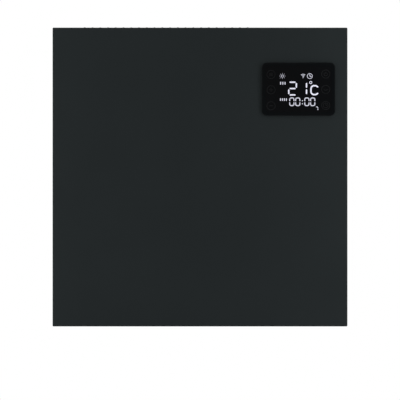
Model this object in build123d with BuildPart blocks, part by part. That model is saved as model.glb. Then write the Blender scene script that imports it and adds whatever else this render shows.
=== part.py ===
from build123d import *
import os
from math import asin, cos, degrees, radians, sin

# A wall-hung electric convector heater. X runs to the right as seen from the room, the front
# faces -Y, +Z is up, and the wall is the plane y = 0. The origin is the centre of the wall
# bracket's four screw holes. All sizes are in millimetres.

os.makedirs("parts", exist_ok=True)

# Clearances
slide_clearance = 0.3
bore_clearance = 0.05
pin_clearance = 0.06

# Front cover, a folded steel tray that is open at the back
cover_width = 440.0
cover_height = 446.0
cover_depth = 52.0
cover_wall = 1.0
cover_lip = 14.0
top_bend_radius = 3.0
edge_bend_radius = 1.5

# Rear casing, a shallower tray with a flange that is screwed to the cover's lip
wall_gap = 20.0
casing_depth = 26.0
casing_wall = 0.8
casing_inset = 14.0
casing_bend = 3.0
flange_margin = 2.0
casing_screw_pitch = 150.0
screw_diameter = 3.0
screw_head_diameter = 6.4
screw_head_height = 2.0
screw_length = 7.0

# Air duct, the galvanised channel round the heating element
duct_side_gap = 28.0
compartment_width = 129.0
duct_front_gap = 6.0
duct_wall = 0.6
duct_foot = 8.0
duct_end_gap = 4.0
duct_bend = 2.0

# Outlet and inlet grilles
grille_pitch = 11.6
grille_slot_width = 7.0
grille_margin = 11.0
grille_rail = 3.0
grille_rim = 4.0
grille_rim_thickness = 1.6
grille_setback = 2.0
blade_depth = 12.0
blade_tip = 2.0
blade_crown = 0.9

# Control panel in the cover
panel_inset_x = 73.0
panel_inset_z = 92.0
bezel_width = 109.0
bezel_height = 79.0
bezel_corner = 7.5
bezel_thickness = 3.0
post_length = 7.2
bezel_chamfer = 1.2
bezel_wall = 1.8
skirt_inset = 4.3
skirt_depth = 12.8
gasket_thickness = 0.8
lens_margin = 5.1
lens_thickness = 1.5
lens_corner = 4.0
lens_ledge = 4.5
key_spacing_x = 81.6
key_spacing_z = 23.2
touch_pad_diameter = 7.0
board_thickness = 1.6
post_diameter = 4.5
post_spacing_x = 50.0
light_guide_width = 66.0
light_guide_height = 50.0
module_depth = 14.0
digit_width = 14.0
digit_height = 22.0

# Power electronics on the casing's back
carrier_width = 96.0
carrier_height = 152.0
carrier_floor = 2.0
carrier_rim = 6.0
carrier_inset_x = 68.0
carrier_centre_z = 10.0
board_margin = 3.0
standoff_height = 6.6
standoff_diameter = 7.0
small_screw_diameter = 2.5
small_head_diameter = 5.0
small_head_height = 1.6

relay_offset = (-27.0, 25.0)
relay_width = 18.0
relay_height = 28.0
relay_depth = 16.0
fuse_offset = (-27.0, -20.0)
fuse_width = 10.0
fuse_height = 26.0
fuse_corner = 3.0
header_offset_z = 62.0
header_width = 18.0
header_depth = 8.0
moulded_corner = 1.0
transformer_offset = (25.0, 22.0)
core_width = 34.0
core_height = 22.0
core_depth = 26.0
former_width = 20.0
former_depth = 21.0
former_corner = 4.0
capacitor_offset = (18.0, -28.0)
capacitor_diameter = 16.0
capacitor_length = 20.0
capacitor_corner = 1.2

# Heating element
fin_pitch = 7.6
element_margin = 50.0
fin_width = 6.0
fin_thickness = 1.2
wing_length = 36.0
steep_angle = 52.0
shallow_angle = 38.0
hub_width = 12.0
hub_height = 27.0
leg_spacing = 14.0
rod_diameter = 8.0
element_centre_z = -120.0
rod_overhang = 16.0
bend_overhang = 6.0
terminal_length = 7.0
terminal_diameter = 3.0
element_sheet = 1.2
collar_diameter = 10.0
collar_flange = 13.0

# Wall bracket
bracket_width = 240.0
bracket_top_inset = 58.0
bracket_bottom_inset = 23.0
bracket_sheet = 2.0
bracket_corner = 8.0
bracket_flange = 8.0
window_width = 180.0
window_inset_z = 108.0
wall_screw_spacing_x = 140.0
wall_screw_inset_z = 83.0
wall_screw_hole = 6.0

# Pivots that carry the heater in the bracket's arms, and how far it tilts
pivot_y = -10.0
pivot_inset_z = 43.0
pivot_diameter = 8.0
arm_depth = 17.0
arm_height = 16.0
arm_radius = 7.0
ear_sheet = 2.0
ear_gap = 6.0
ear_height = 44.0
ear_foot = 18.0
ear_radius = 6.5
tilt_limit = 18.0
heel_radius = 2.5
heel_reach = 12.0

# Snap clips and studs that hold the heater's top against the bracket
stud_spacing = 210.0
stud_inset_z = 83.0
stud_diameter = 6.0
stud_length = 12.0
clip_sheet = 0.8
clip_height = 14.0
clip_reach = 15.0
rivet_diameter = 3.2
rivet_head_diameter = 6.0
rivet_head_height = 1.2
bumper_diameter = 14.0
bumper_spacing = 40.0

# Mains switch in the casing's right-hand wall
switch_z = -110.0
switch_angle = 10.0
rocker_width = 10.8
rocker_half = 8.6
rocker_reach = 5.0
rocker_dish = 3.6
rocker_root = 3.0
rocker_gap = 0.4
trunnion_diameter = 3.0
trunnion_overhang = 0.9
switch_wall = 1.1
switch_depth = 14.0
switch_flange = 1.4
switch_flange_thickness = 1.5
tab_length = 7.0
tab_width = 4.8
tab_thickness = 0.8
tab_spacing_y = 6.4
tab_spacing_z = 10.0

# Supply, safety and sensing
block_width = 38.0
block_height = 20.0
block_inset_x = 70.0
block_inset_z = 41.0
wire_diameter = 3.0
wire_bend = 5.0
gland_bore = 8.0
gland_thread = 12.0
gland_hex = 15.0
gland_hex_height = 5.0
gland_dome = 7.0
gland_inside = 9.0
earth_inset_x = 36.0
earth_stud_diameter = 4.0
earth_stud_length = 12.0
earth_nut_hex = 7.0
earth_nut_height = 3.2
cutout_z = -60.0
cutout_diameter = 15.6
cutout_length = 10.0
cutout_flange = 27.0
grommet_diameter = 8.0
sensor_inset_x = 72.0
sensor_setback = 23.0
ribbon_width = 14.0
ribbon_thickness = 0.9

# Pin and stud heads, the plates that hold the element, and the casing's vents
pin_head_diameter = 12.0
pin_head_thickness = 1.5
stud_head_diameter = 10.8
stud_head_thickness = 1.0
stud_chamfer = 0.8
small_screw_grip = 5.0
small_head_rim = 1.2
cutout_screw_spacing = 21.0
cutout_tab_spacing = 9.0
cutout_cap = 3.6
bracket_foot = 14.0
bracket_plate_height = 38.0
rocker_pivot_inset = 1.5
vent_spacing_x = 44.0
vent_pitch = 9.0
vent_rows = 5
vent_length = 34.0
vent_width = 4.0
vent_centre_z = -95.0
lens_recess = 0.4
wedge_height = 1.2
wedge_length = 5.0
gasket_inset = 1.0
radio_width = 18.0
radio_height = 24.0
digit_offset_z = 6.0
block_depth = 22.0
terminal_row = 56.0
terminal_block_size = 12.0
wire_entry = 5.0
barrel_radius = 1.9
earth_tag_rise = 11.0
sensor_diameter = 4.8
sensor_length = 14.0
ribbon_inset_x = 72.0
ribbon_setback = 38.0

# Levels worked out from the sizes above
back_y = -wall_gap
casing_inner_y = back_y - casing_wall
seam_y = back_y - casing_depth
front_y = seam_y - cover_depth
cover_top = cover_height / 2
cover_right = cover_width / 2
casing_width = cover_width - 2 * casing_inset
casing_height = cover_height - 2 * casing_inset
casing_right = casing_width / 2
flange_width = cover_width - 2 * flange_margin
flange_height = cover_height - 2 * flange_margin
duct_left = duct_side_gap - cover_right
duct_right = cover_right - compartment_width
duct_width = duct_right - duct_left
duct_centre_x = (duct_left + duct_right) / 2
duct_front_y = front_y + cover_wall + duct_front_gap
duct_height = casing_height - 2 * casing_wall - 2 * duct_end_gap
wire_y = (casing_inner_y + seam_y + casing_wall) / 2
screw_columns = 2 * (casing_right + (cover_lip - flange_margin) / 2)
screw_rows = 2 * (casing_height / 2 + (cover_lip - flange_margin) / 2)
grille_slots = int(duct_width / grille_pitch) - 1
grille_slot_length = cover_depth - 2 * grille_margin
grille_centre_y = (front_y + seam_y) / 2 + grille_setback
grille_length = grille_slots * grille_pitch - (grille_pitch - grille_slot_width) + 2 * grille_rail
grille_depth = grille_slot_length + 2 * grille_rail
skirt_width = bezel_width - 2 * skirt_inset
skirt_height = bezel_height - 2 * skirt_inset

# Places of the bracket's holes, pivots and studs
bracket_top = cover_top - bracket_top_inset
bracket_bottom = bracket_bottom_inset - cover_top
window_top = cover_top - window_inset_z
window_bottom = -window_top
wall_screw_spacing_z = cover_height - 2 * wall_screw_inset_z
pivot_z = pivot_inset_z - cover_top
stud_z = cover_top - stud_inset_z

# Places of the control panel's layers, from its front to its back
panel_centre_x = cover_right - panel_inset_x
panel_centre_z = cover_top - panel_inset_z
bezel_back_y = front_y - gasket_thickness
lens_back_y = bezel_back_y - bezel_thickness + lens_recess + lens_thickness
skirt_back_y = bezel_back_y + skirt_depth
lens_width = bezel_width - 2 * lens_margin
lens_height = bezel_height - 2 * lens_margin
board_width = skirt_width - 2 * bezel_wall - 2 * slide_clearance
board_height = skirt_height - 2 * bezel_wall - 2 * slide_clearance
board_front_y = bezel_back_y + post_length
post_spacing_z = skirt_height - 2 * bezel_wall - post_diameter - 2 * slide_clearance

# Places of the power board and its wires
carrier_centre_x = cover_right - carrier_inset_x
block_centre_x = cover_right - block_inset_x
block_centre_z = block_inset_z - casing_height / 2
earth_x = cover_right - earth_inset_x
earth_z = block_centre_z
sensor_x = cover_right - sensor_inset_x
sensor_y = front_y + sensor_setback
ribbon_x = cover_right - ribbon_inset_x
ribbon_down_y = front_y + ribbon_setback
power_back_y = casing_inner_y - carrier_floor - standoff_height
power_front_y = power_back_y - board_thickness
board_bottom_z = carrier_centre_z - carrier_height / 2 + board_margin
standoff_x = carrier_width / 2 - board_margin - standoff_diameter / 2
standoff_z = carrier_height / 2 - board_margin - terminal_block_size - small_head_diameter
standoff_spots = [
    (carrier_centre_x + side * standoff_x, carrier_centre_z + end * standoff_z)
    for side in (-1, 1)
    for end in (-1, 1)
]
carrier_rivet_spots = [
    (carrier_centre_x, carrier_centre_z + end * carrier_height / 3) for end in (-1, 1)
]
near_wire_y = wire_y - tab_spacing_y / 2
far_wire_y = wire_y + tab_spacing_y / 2
terminals_y = near_wire_y
terminal_spots = [
    carrier_centre_x + share * terminal_row for share in (-0.38, -0.22, -0.06, 0.2, 0.36)
]
block_top_z = block_centre_z + block_height / 2
supply_x = (block_centre_x - wire_bend - 1, block_centre_x + wire_bend + 1)
earth_wire_x = supply_x[1] + 2 * wire_diameter
earth_tag_top = earth_z + earth_tag_rise
casing_bottom_z = -casing_height / 2
tab_end_x = casing_right - switch_depth - tab_length
rocker_pivot_x = casing_right - rocker_pivot_inset
sensor_bottom_z = cover_wall - cover_top + 2 * wire_diameter
ribbon_end_z = carrier_centre_z + header_offset_z
ribbon_end_y = power_front_y - header_depth

# Places of the heating element
fin_pairs = int((duct_width - element_margin) / (2 * fin_pitch))
element_y = (duct_front_y + duct_wall + casing_inner_y) / 2
leg_spots = [(element_y, element_centre_z + end * leg_spacing / 2) for end in (-1, 1)]
fins_length = (2 * fin_pairs - 1) * fin_pitch + fin_width
fins_left = duct_centre_x - fins_length / 2
fins_right = fins_left + fins_length
rod_right = fins_right + rod_overhang
rod_left = fins_left - bend_overhang
left_plate_x = fins_left - bend_overhang / 2
right_plate_x = fins_right + rod_overhang / 2
terminal_end_x = rod_right + terminal_length
bracket_rivet_spots = [
    (plate_x + side * (bracket_foot / 2 + element_sheet), element_centre_z + end * bracket_foot / 2)
    for plate_x, side in ((left_plate_x, -1), (right_plate_x, 1))
    for end in (-1, 1)
]


def facing_room(y):
    """The plane at depth y that faces the room, with X to the right and Z up."""
    return Plane.XZ.offset(-y)


def panel_plane(y):
    """The same plane, centred on the control panel."""
    return Plane(origin=(panel_centre_x, y, panel_centre_z), x_dir=(1, 0, 0), z_dir=(0, -1, 0))


# Wall bracket: a pressed frame with side flanges and two arms that carry the pivot pins
with BuildPart() as wall_bracket:
    with BuildSketch(facing_room(0)):
        with Locations((0, (bracket_top + bracket_bottom) / 2)):
            RectangleRounded(bracket_width, bracket_top - bracket_bottom, bracket_corner)
        with Locations((0, (window_top + window_bottom) / 2)):
            RectangleRounded(
                window_width, window_top - window_bottom, bracket_corner, mode=Mode.SUBTRACT
            )
        with GridLocations(wall_screw_spacing_x, wall_screw_spacing_z, 2, 2):
            Circle(wall_screw_hole / 2, mode=Mode.SUBTRACT)
        with Locations((-stud_spacing / 2, stud_z), (stud_spacing / 2, stud_z)):
            Circle(rivet_diameter / 2 + bore_clearance, mode=Mode.SUBTRACT)
    extrude(amount=bracket_sheet)
    for side in (-1, 1):
        arm_x = side * (bracket_width - bracket_sheet) / 2
        with BuildSketch(Plane.YZ.offset(arm_x)):
            with Locations((0, pivot_z)):
                Rectangle(arm_depth, arm_height, align=(Align.MAX, Align.MIN))
            with Locations((0, pivot_z)):
                Rectangle(-pivot_y, arm_radius, align=(Align.MAX, Align.MAX))
            with Locations((0, pivot_z + arm_height)):
                Rectangle(
                    bracket_flange,
                    bracket_top - bracket_corner - pivot_z - arm_height,
                    align=(Align.MAX, Align.MIN),
                )
            with Locations((pivot_y, pivot_z)):
                Circle(arm_radius)
                Circle(pivot_diameter / 2 + pin_clearance, mode=Mode.SUBTRACT)
                Rectangle(
                    pivot_diameter + 2 * pin_clearance,
                    2 * arm_height,
                    align=(Align.CENTER, Align.MIN),
                    mode=Mode.SUBTRACT,
                )
        extrude(amount=bracket_sheet / 2, both=True)

# Snap clips: bent spring steel, one for each stud, riveted to the bracket's top rail
snap_clips = {}
for side, name in ((-1, "left_snap_clip"), (1, "right_snap_clip")):
    clip_x = side * stud_spacing / 2
    clip_plane = Plane(origin=(clip_x, -bracket_sheet, stud_z - clip_height / 2))
    jaw = stud_diameter / 2 + slide_clearance + clip_sheet / 2
    with BuildPart() as clip:
        with BuildSketch(clip_plane):
            with BuildLine():
                FilletPolyline(
                    (-jaw - 2.0, -clip_reach),
                    (-jaw, -clip_reach + 4.0),
                    (-jaw - 1.2, -clip_sheet / 2),
                    (jaw + 1.2, -clip_sheet / 2),
                    (jaw, -clip_reach + 4.0),
                    (jaw + 2.0, -clip_reach),
                    radius=0.9,
                )
                offset(amount=clip_sheet / 2)
            make_face()
        extrude(amount=clip_height)
        with BuildSketch(facing_room(0)):
            with Locations((clip_x, stud_z)):
                Circle(rivet_diameter / 2 + bore_clearance)
        extrude(amount=bracket_sheet + 2 * clip_sheet, mode=Mode.SUBTRACT)
    snap_clips[name] = clip

# Rivets of the snap clips
with BuildPart() as clip_rivets:
    with BuildSketch(facing_room(0)):
        with Locations((-stud_spacing / 2, stud_z), (stud_spacing / 2, stud_z)):
            Circle(rivet_diameter / 2)
    extrude(amount=bracket_sheet + clip_sheet)
    with BuildSketch(facing_room(-bracket_sheet - clip_sheet)):
        with Locations((-stud_spacing / 2, stud_z), (stud_spacing / 2, stud_z)):
            Circle(rivet_head_diameter / 2)
    extrude(amount=rivet_head_height)

# Rubber bumpers that the heater's back leans on
with BuildPart() as bracket_bumpers:
    with BuildSketch(facing_room(-bracket_sheet)):
        with GridLocations(2 * bumper_spacing, 1, 2, 1):
            with Locations((0, stud_z)):
                Circle(bumper_diameter / 2)
    extrude(amount=wall_gap - bracket_sheet - slide_clearance, taper=6)

# Front cover: the folded tray, its lip, the two grille openings and the panel's cut-out
with BuildPart() as front_cover:
    with BuildSketch(Plane.YZ):
        with Locations(((front_y + seam_y) / 2, 0)):
            outline = Rectangle(cover_depth, cover_height)
        front_corners = outline.vertices().sort_by(Axis.X)[:2].sort_by(Axis.Y)
        fillet(front_corners[1], top_bend_radius)
        fillet(vertices().sort_by(Axis.Y)[:2].sort_by(Axis.X)[0], edge_bend_radius + cover_wall)
    extrude(amount=cover_right, both=True)
    end_faces = front_cover.faces().sort_by(Axis.X)
    fillet(end_faces[0].edges() + end_faces[-1].edges(), edge_bend_radius)
    with BuildSketch(Plane.YZ):
        with Locations(((front_y + seam_y) / 2, 0)):
            hollow = Rectangle(cover_depth - 2 * cover_wall, cover_height - 2 * cover_wall)
        front_corners = hollow.vertices().sort_by(Axis.X)[:2].sort_by(Axis.Y)
        fillet(front_corners[1], top_bend_radius - cover_wall)
    extrude(amount=cover_right - cover_wall, both=True, mode=Mode.SUBTRACT)
    with BuildSketch(facing_room(seam_y)):
        RectangleRounded(
            cover_width - 2 * cover_lip, cover_height - 2 * cover_lip, casing_bend
        )
    extrude(amount=2 * cover_wall, mode=Mode.SUBTRACT)
    with BuildSketch(facing_room(seam_y)):
        with GridLocations(screw_columns, casing_screw_pitch, 2, 3):
            Circle(screw_diameter / 2 + bore_clearance)
        with GridLocations(casing_screw_pitch, screw_rows, 3, 2):
            Circle(screw_diameter / 2 + bore_clearance)
    extrude(amount=2 * cover_wall, mode=Mode.SUBTRACT)
    with BuildSketch(facing_room(front_y)):
        with Locations((panel_centre_x, panel_centre_z)):
            RectangleRounded(
                skirt_width + 2 * slide_clearance, skirt_height + 2 * slide_clearance, lens_corner
            )
    extrude(amount=-2 * cover_wall, mode=Mode.SUBTRACT)
    with BuildSketch(Plane.XY.offset(-cover_top)):
        with Locations((duct_centre_x, grille_centre_y)):
            Rectangle(grille_length + 2 * slide_clearance, grille_depth + 2 * slide_clearance)
    extrude(amount=cover_height, mode=Mode.SUBTRACT)

# Rear casing: the tray behind the cover, with its flange and the holes for what it carries
pivot_side_x = bracket_width / 2 - bracket_sheet - ear_gap - ear_sheet
ear_centre_x = pivot_side_x - ear_foot / 2 + ear_sheet
ear_rivet_spots = [
    (side * (pivot_side_x - rivet_head_diameter), pivot_z + end * (ear_height / 2 - rivet_head_diameter))
    for side in (-1, 1)
    for end in (-1, 1)
]
duct_rivet_reach = (duct_width + duct_foot + 3 * duct_wall) / 2
duct_rivet_spots = [
    (duct_centre_x + side * duct_rivet_reach, end * duct_height / 3)
    for side in (-1, 1)
    for end in (-1, 1)
]
casing_rivet_spots = ear_rivet_spots + duct_rivet_spots + bracket_rivet_spots + carrier_rivet_spots
switch_body_width = rocker_width + 0.4 + 2 * switch_wall
rocked = radians(switch_angle)
rocker_sweep = rocker_half * cos(rocked) + rocker_reach * sin(rocked)
switch_cavity = 2 * (rocker_sweep + rocker_gap)
switch_body_height = switch_cavity + 2 * switch_wall
with BuildPart() as casing_hollow:
    with BuildSketch(facing_room(casing_inner_y)):
        RectangleRounded(
            casing_width - 2 * casing_wall, casing_height - 2 * casing_wall, casing_bend
        )
    extrude(amount=casing_depth)
    fillet(casing_hollow.faces().sort_by(Axis.Y)[-1].edges(), casing_bend - casing_wall)
with BuildPart() as rear_casing:
    with BuildSketch(facing_room(back_y)):
        RectangleRounded(casing_width, casing_height, casing_bend + casing_wall)
    extrude(amount=casing_depth)
    fillet(rear_casing.faces().sort_by(Axis.Y)[-1].edges(), casing_bend)
    with BuildSketch(facing_room(seam_y + casing_wall)):
        RectangleRounded(flange_width, flange_height, casing_bend)
    extrude(amount=casing_wall)
    add(casing_hollow.part, mode=Mode.SUBTRACT)
    with BuildSketch(facing_room(seam_y + casing_wall)):
        with GridLocations(screw_columns, casing_screw_pitch, 2, 3):
            Circle(screw_diameter / 2 + bore_clearance)
        with GridLocations(casing_screw_pitch, screw_rows, 3, 2):
            Circle(screw_diameter / 2 + bore_clearance)
    extrude(amount=casing_wall, mode=Mode.SUBTRACT)
    with BuildSketch(facing_room(back_y)):
        with Locations(*casing_rivet_spots):
            Circle(rivet_diameter / 2 + bore_clearance)
        with Locations((-stud_spacing / 2, stud_z), (stud_spacing / 2, stud_z)):
            Circle(stud_diameter / 2 + bore_clearance)
        with GridLocations(vent_spacing_x, vent_pitch, 2, vent_rows):
            with Locations((panel_centre_x, vent_centre_z)):
                SlotOverall(vent_length, vent_width)
    extrude(amount=casing_wall, mode=Mode.SUBTRACT)
    with BuildSketch(Plane.YZ.offset(casing_right - 2 * casing_wall)):
        with Locations((wire_y, switch_z)):
            Rectangle(
                switch_body_width + 2 * bore_clearance, switch_body_height + 2 * bore_clearance
            )
    extrude(amount=3 * casing_wall, mode=Mode.SUBTRACT)
    with BuildSketch(Plane.XY.offset(-casing_height / 2 - casing_wall)):
        with Locations((block_centre_x, wire_y)):
            Circle(gland_thread / 2 + bore_clearance)
    extrude(amount=3 * casing_wall, mode=Mode.SUBTRACT)

# Screws that join the casing's flange to the cover's lip
with BuildPart() as casing_screws:
    with BuildSketch(facing_room(seam_y + casing_wall)):
        with GridLocations(screw_columns, casing_screw_pitch, 2, 3):
            Circle(screw_diameter / 2)
        with GridLocations(casing_screw_pitch, screw_rows, 3, 2):
            Circle(screw_diameter / 2)
    extrude(amount=screw_length)
    with BuildSketch(facing_room(seam_y + casing_wall + screw_head_height)):
        with GridLocations(screw_columns, casing_screw_pitch, 2, 3):
            Circle(screw_head_diameter / 2)
        with GridLocations(casing_screw_pitch, screw_rows, 3, 2):
            Circle(screw_head_diameter / 2)
    extrude(amount=screw_head_height)


def make_grille(outer_z, up, crown):
    """A moulded grille: a rim inside the sheet, two rails and a row of tapered blades."""
    rim_z = outer_z - up * cover_wall
    with BuildPart() as grille:
        with BuildSketch(Plane.XY.offset(rim_z)):
            with Locations((duct_centre_x, grille_centre_y)):
                Rectangle(grille_length + 2 * grille_rim, grille_depth + 2 * grille_rim)
                Rectangle(
                    grille_length - 2 * grille_rail,
                    grille_depth - 2 * grille_rail,
                    mode=Mode.SUBTRACT,
                )
        extrude(amount=-up * grille_rim_thickness)
        with BuildSketch(Plane.XY.offset(rim_z)):
            with Locations((duct_centre_x, grille_centre_y)):
                Rectangle(grille_length, grille_depth)
                Rectangle(
                    grille_length - 2 * grille_rail,
                    grille_depth - 2 * grille_rail,
                    mode=Mode.SUBTRACT,
                )
        extrude(amount=up * cover_wall)
        blade_top = grille_pitch - grille_slot_width
        blade_plane = Plane(
            origin=(duct_centre_x, grille_centre_y + grille_slot_length / 2, outer_z),
            x_dir=(1, 0, 0),
            z_dir=(0, -1, 0),
        )
        with BuildSketch(blade_plane):
            with GridLocations(grille_pitch, 1, grille_slots - 1, 1):
                with BuildLine():
                    side_points = [
                        (-blade_top / 2, 0),
                        (-blade_tip / 2, -up * blade_depth),
                        (blade_tip / 2, -up * blade_depth),
                        (blade_top / 2, 0),
                    ]
                    Polyline(*side_points)
                    ThreePointArc((blade_top / 2, 0), (0, up * crown), (-blade_top / 2, 0))
                make_face()
        extrude(amount=grille_slot_length)
    return grille


# Outlet grille in the cover's top, with blades that crown just above it, and the flatter
# inlet grille in its underside
outlet_grille = make_grille(cover_top, 1, blade_crown)
inlet_grille = make_grille(-cover_top, -1, blade_crown / 3)

# Air duct: a galvanised channel riveted to the casing, open at its top and its bottom
foot_y = casing_inner_y - duct_wall / 2
with BuildPart() as air_duct:
    with BuildSketch(Plane.XY.offset(-duct_height / 2)):
        with BuildLine():
            FilletPolyline(
                (duct_left - duct_foot, foot_y),
                (duct_left + duct_wall / 2, foot_y),
                (duct_left + duct_wall / 2, duct_front_y + duct_wall / 2),
                (duct_right - duct_wall / 2, duct_front_y + duct_wall / 2),
                (duct_right - duct_wall / 2, foot_y),
                (duct_right + duct_foot, foot_y),
                radius=duct_bend,
            )
            offset(amount=duct_wall / 2)
        make_face()
    extrude(amount=duct_height)
    with BuildSketch(facing_room(casing_inner_y)):
        with Locations(*duct_rivet_spots):
            Circle(rivet_diameter / 2 + bore_clearance)
    extrude(amount=2 * duct_wall, mode=Mode.SUBTRACT)
    with BuildSketch(Plane.YZ.offset(duct_right - 2 * duct_wall)):
        with Locations(*leg_spots):
            Circle(grommet_diameter / 2 + bore_clearance)
        with Locations((element_y, cutout_z)):
            Circle(cutout_diameter / 2 + bore_clearance)
            with GridLocations(1, cutout_screw_spacing, 1, 2):
                Circle(small_screw_diameter / 2 + bore_clearance)
    extrude(amount=3 * duct_wall, mode=Mode.SUBTRACT)

# Pivot ears: riveted to the casing's back, each with a heel that stops the tilt on the bracket
heel_target = -pivot_y - bracket_sheet - slide_clearance - heel_radius
heel_angle = degrees(asin(heel_target / heel_reach)) - tilt_limit
pivot_ears = {}
for side, name in ((-1, "left_pivot_ear"), (1, "right_pivot_ear")):
    with BuildPart() as ear:
        with BuildSketch(Plane.YZ.offset(side * (pivot_side_x + ear_sheet / 2))):
            with Locations((back_y, pivot_z)):
                Rectangle(pivot_y - back_y, 2 * ear_radius, align=(Align.MIN, Align.CENTER))
            with Locations((pivot_y, pivot_z)):
                Circle(ear_radius)
                Rectangle(
                    heel_reach,
                    2 * heel_radius,
                    rotation=heel_angle - 90,
                    align=(Align.MIN, Align.CENTER),
                )
                with PolarLocations(heel_reach, 1, start_angle=heel_angle - 90):
                    Circle(heel_radius)
                Circle(pivot_diameter / 2 + bore_clearance, mode=Mode.SUBTRACT)
        extrude(amount=ear_sheet / 2, both=True)
        with BuildSketch(facing_room(back_y)):
            with Locations((side * ear_centre_x, pivot_z)):
                RectangleRounded(ear_foot, ear_height, ear_sheet)
            with Locations(*ear_rivet_spots):
                Circle(rivet_diameter / 2 + bore_clearance, mode=Mode.SUBTRACT)
        extrude(amount=-ear_sheet)
    pivot_ears[name] = ear

# Pivot pins: shouldered rivets in the ears, which rest in the bracket's open cradles
with BuildPart() as pivot_pins:
    for side in (-1, 1):
        inner_x = pivot_side_x - pin_head_thickness
        outer_x = bracket_width / 2 + slide_clearance
        with BuildSketch(Plane.YZ.offset(side * inner_x)):
            with Locations((pivot_y, pivot_z)):
                Circle(pin_head_diameter / 2)
        extrude(amount=side * pin_head_thickness)
        with BuildSketch(Plane.YZ.offset(side * inner_x)):
            with Locations((pivot_y, pivot_z)):
                Circle(pivot_diameter / 2)
        extrude(amount=side * (outer_x - inner_x))
        with BuildSketch(Plane.YZ.offset(side * outer_x)):
            with Locations((pivot_y, pivot_z)):
                Circle(pin_head_diameter / 2)
        extrude(amount=side * pin_head_thickness)

# Keeper studs: they stand out of the casing's back and sit between the snap clips' jaws
with BuildPart() as keeper_studs:
    for level, radius, length in (
        (casing_inner_y - stud_head_thickness, stud_head_diameter / 2, stud_head_thickness),
        (casing_inner_y, stud_diameter / 2, casing_wall),
        (back_y, stud_head_diameter / 2, stud_head_thickness),
        (back_y + stud_head_thickness, stud_diameter / 2, stud_length - stud_head_thickness),
    ):
        with BuildSketch(facing_room(level)):
            with Locations((-stud_spacing / 2, stud_z), (stud_spacing / 2, stud_z)):
                Circle(radius)
        extrude(amount=-length)
    chamfer(keeper_studs.faces().sort_by(Axis.Y)[-2:].edges(), stud_chamfer)


# Rivets of the ears, the duct, the element's brackets and the board's carrier, each through
# the sheets from the first level to the second
rivet_groups = (
    (ear_rivet_spots, back_y + ear_sheet, casing_inner_y),
    (duct_rivet_spots, back_y, casing_inner_y - duct_wall),
    (bracket_rivet_spots, back_y, casing_inner_y - element_sheet),
    (carrier_rivet_spots, back_y, casing_inner_y - carrier_floor),
)
with BuildPart() as casing_rivets:
    for spots, outer_y, inner_y in rivet_groups:
        for level, radius, length in (
            (outer_y, rivet_head_diameter / 2, -rivet_head_height),
            (outer_y, rivet_diameter / 2, outer_y - inner_y),
            (inner_y, rivet_head_diameter / 2, rivet_head_height),
        ):
            with BuildSketch(facing_room(level)):
                with Locations(*spots):
                    Circle(radius)
            extrude(amount=length)

# Heating element: an aluminium hub with two bores and four rows of wings, slit into strips
# that are splayed at two angles in turn, so that it looks like an X from its end
with BuildPart() as element_fins:
    with BuildSketch(Plane.YZ.offset(fins_left)):
        with Locations((element_y, element_centre_z)):
            RectangleRounded(hub_width, hub_height, hub_width / 2 - bore_clearance)
    extrude(amount=fins_length)
    for step, angle in ((0, steep_angle), (1, shallow_angle)):
        strips = [
            Plane.YZ.offset(fins_left + (2 * pair + step) * fin_pitch)
            for pair in range(fin_pairs)
        ]
        with BuildSketch(*strips):
            for up in (-1, 1):
                for direction in (angle, 180 - angle):
                    with Locations((element_y, element_centre_z + up * leg_spacing / 2)):
                        Rectangle(
                            wing_length,
                            fin_thickness,
                            rotation=up * direction,
                            align=(Align.MIN, Align.CENTER),
                        )
        extrude(amount=fin_width)
    with BuildSketch(Plane.YZ.offset(fins_left)):
        with Locations(*leg_spots):
            Circle(rod_diameter / 2 + bore_clearance)
    extrude(amount=fins_length, mode=Mode.SUBTRACT)

# Heating rod: one sheathed hairpin through both bores
with BuildPart() as heating_rod:
    with BuildLine(
        Plane(origin=(0, element_y, element_centre_z), x_dir=(1, 0, 0), z_dir=(0, -1, 0))
    ):
        Line((rod_right, leg_spacing / 2), (rod_left, leg_spacing / 2))
        ThreePointArc(
            (rod_left, leg_spacing / 2),
            (rod_left - leg_spacing / 2, 0),
            (rod_left, -leg_spacing / 2),
        )
        Line((rod_left, -leg_spacing / 2), (rod_right, -leg_spacing / 2))
    with BuildSketch(Plane.YZ.offset(rod_right)):
        with Locations(leg_spots[1]):
            Circle(rod_diameter / 2)
    sweep()

# Terminals: a collar and a pin on the end of each leg
with BuildPart() as element_terminals:
    with BuildSketch(Plane.YZ.offset(rod_right)):
        with Locations(*leg_spots):
            Circle(terminal_diameter)
    extrude(amount=terminal_length / 3)
    with BuildSketch(Plane.YZ.offset(rod_right)):
        with Locations(*leg_spots):
            Circle(terminal_diameter / 2)
    extrude(amount=terminal_length)

# Ceramic collars that seat the legs in the element's brackets
with BuildPart() as element_insulators:
    for plate_x, toward_hub in ((left_plate_x, 1), (right_plate_x, -1)):
        hub_face = plate_x + toward_hub * element_sheet / 2
        with BuildSketch(Plane.YZ.offset(hub_face)):
            with Locations(*leg_spots):
                Circle(collar_flange / 2)
        extrude(amount=toward_hub * element_sheet)
        with BuildSketch(Plane.YZ.offset(hub_face)):
            with Locations(*leg_spots):
                Circle(collar_diameter / 2)
        extrude(amount=-toward_hub * 2 * element_sheet)
    for plate_x in (left_plate_x, right_plate_x):
        with BuildSketch(Plane.YZ.offset(plate_x)):
            with Locations(*leg_spots):
                Circle(rod_diameter / 2 + bore_clearance)
        extrude(amount=3 * element_sheet, both=True, mode=Mode.SUBTRACT)

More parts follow.
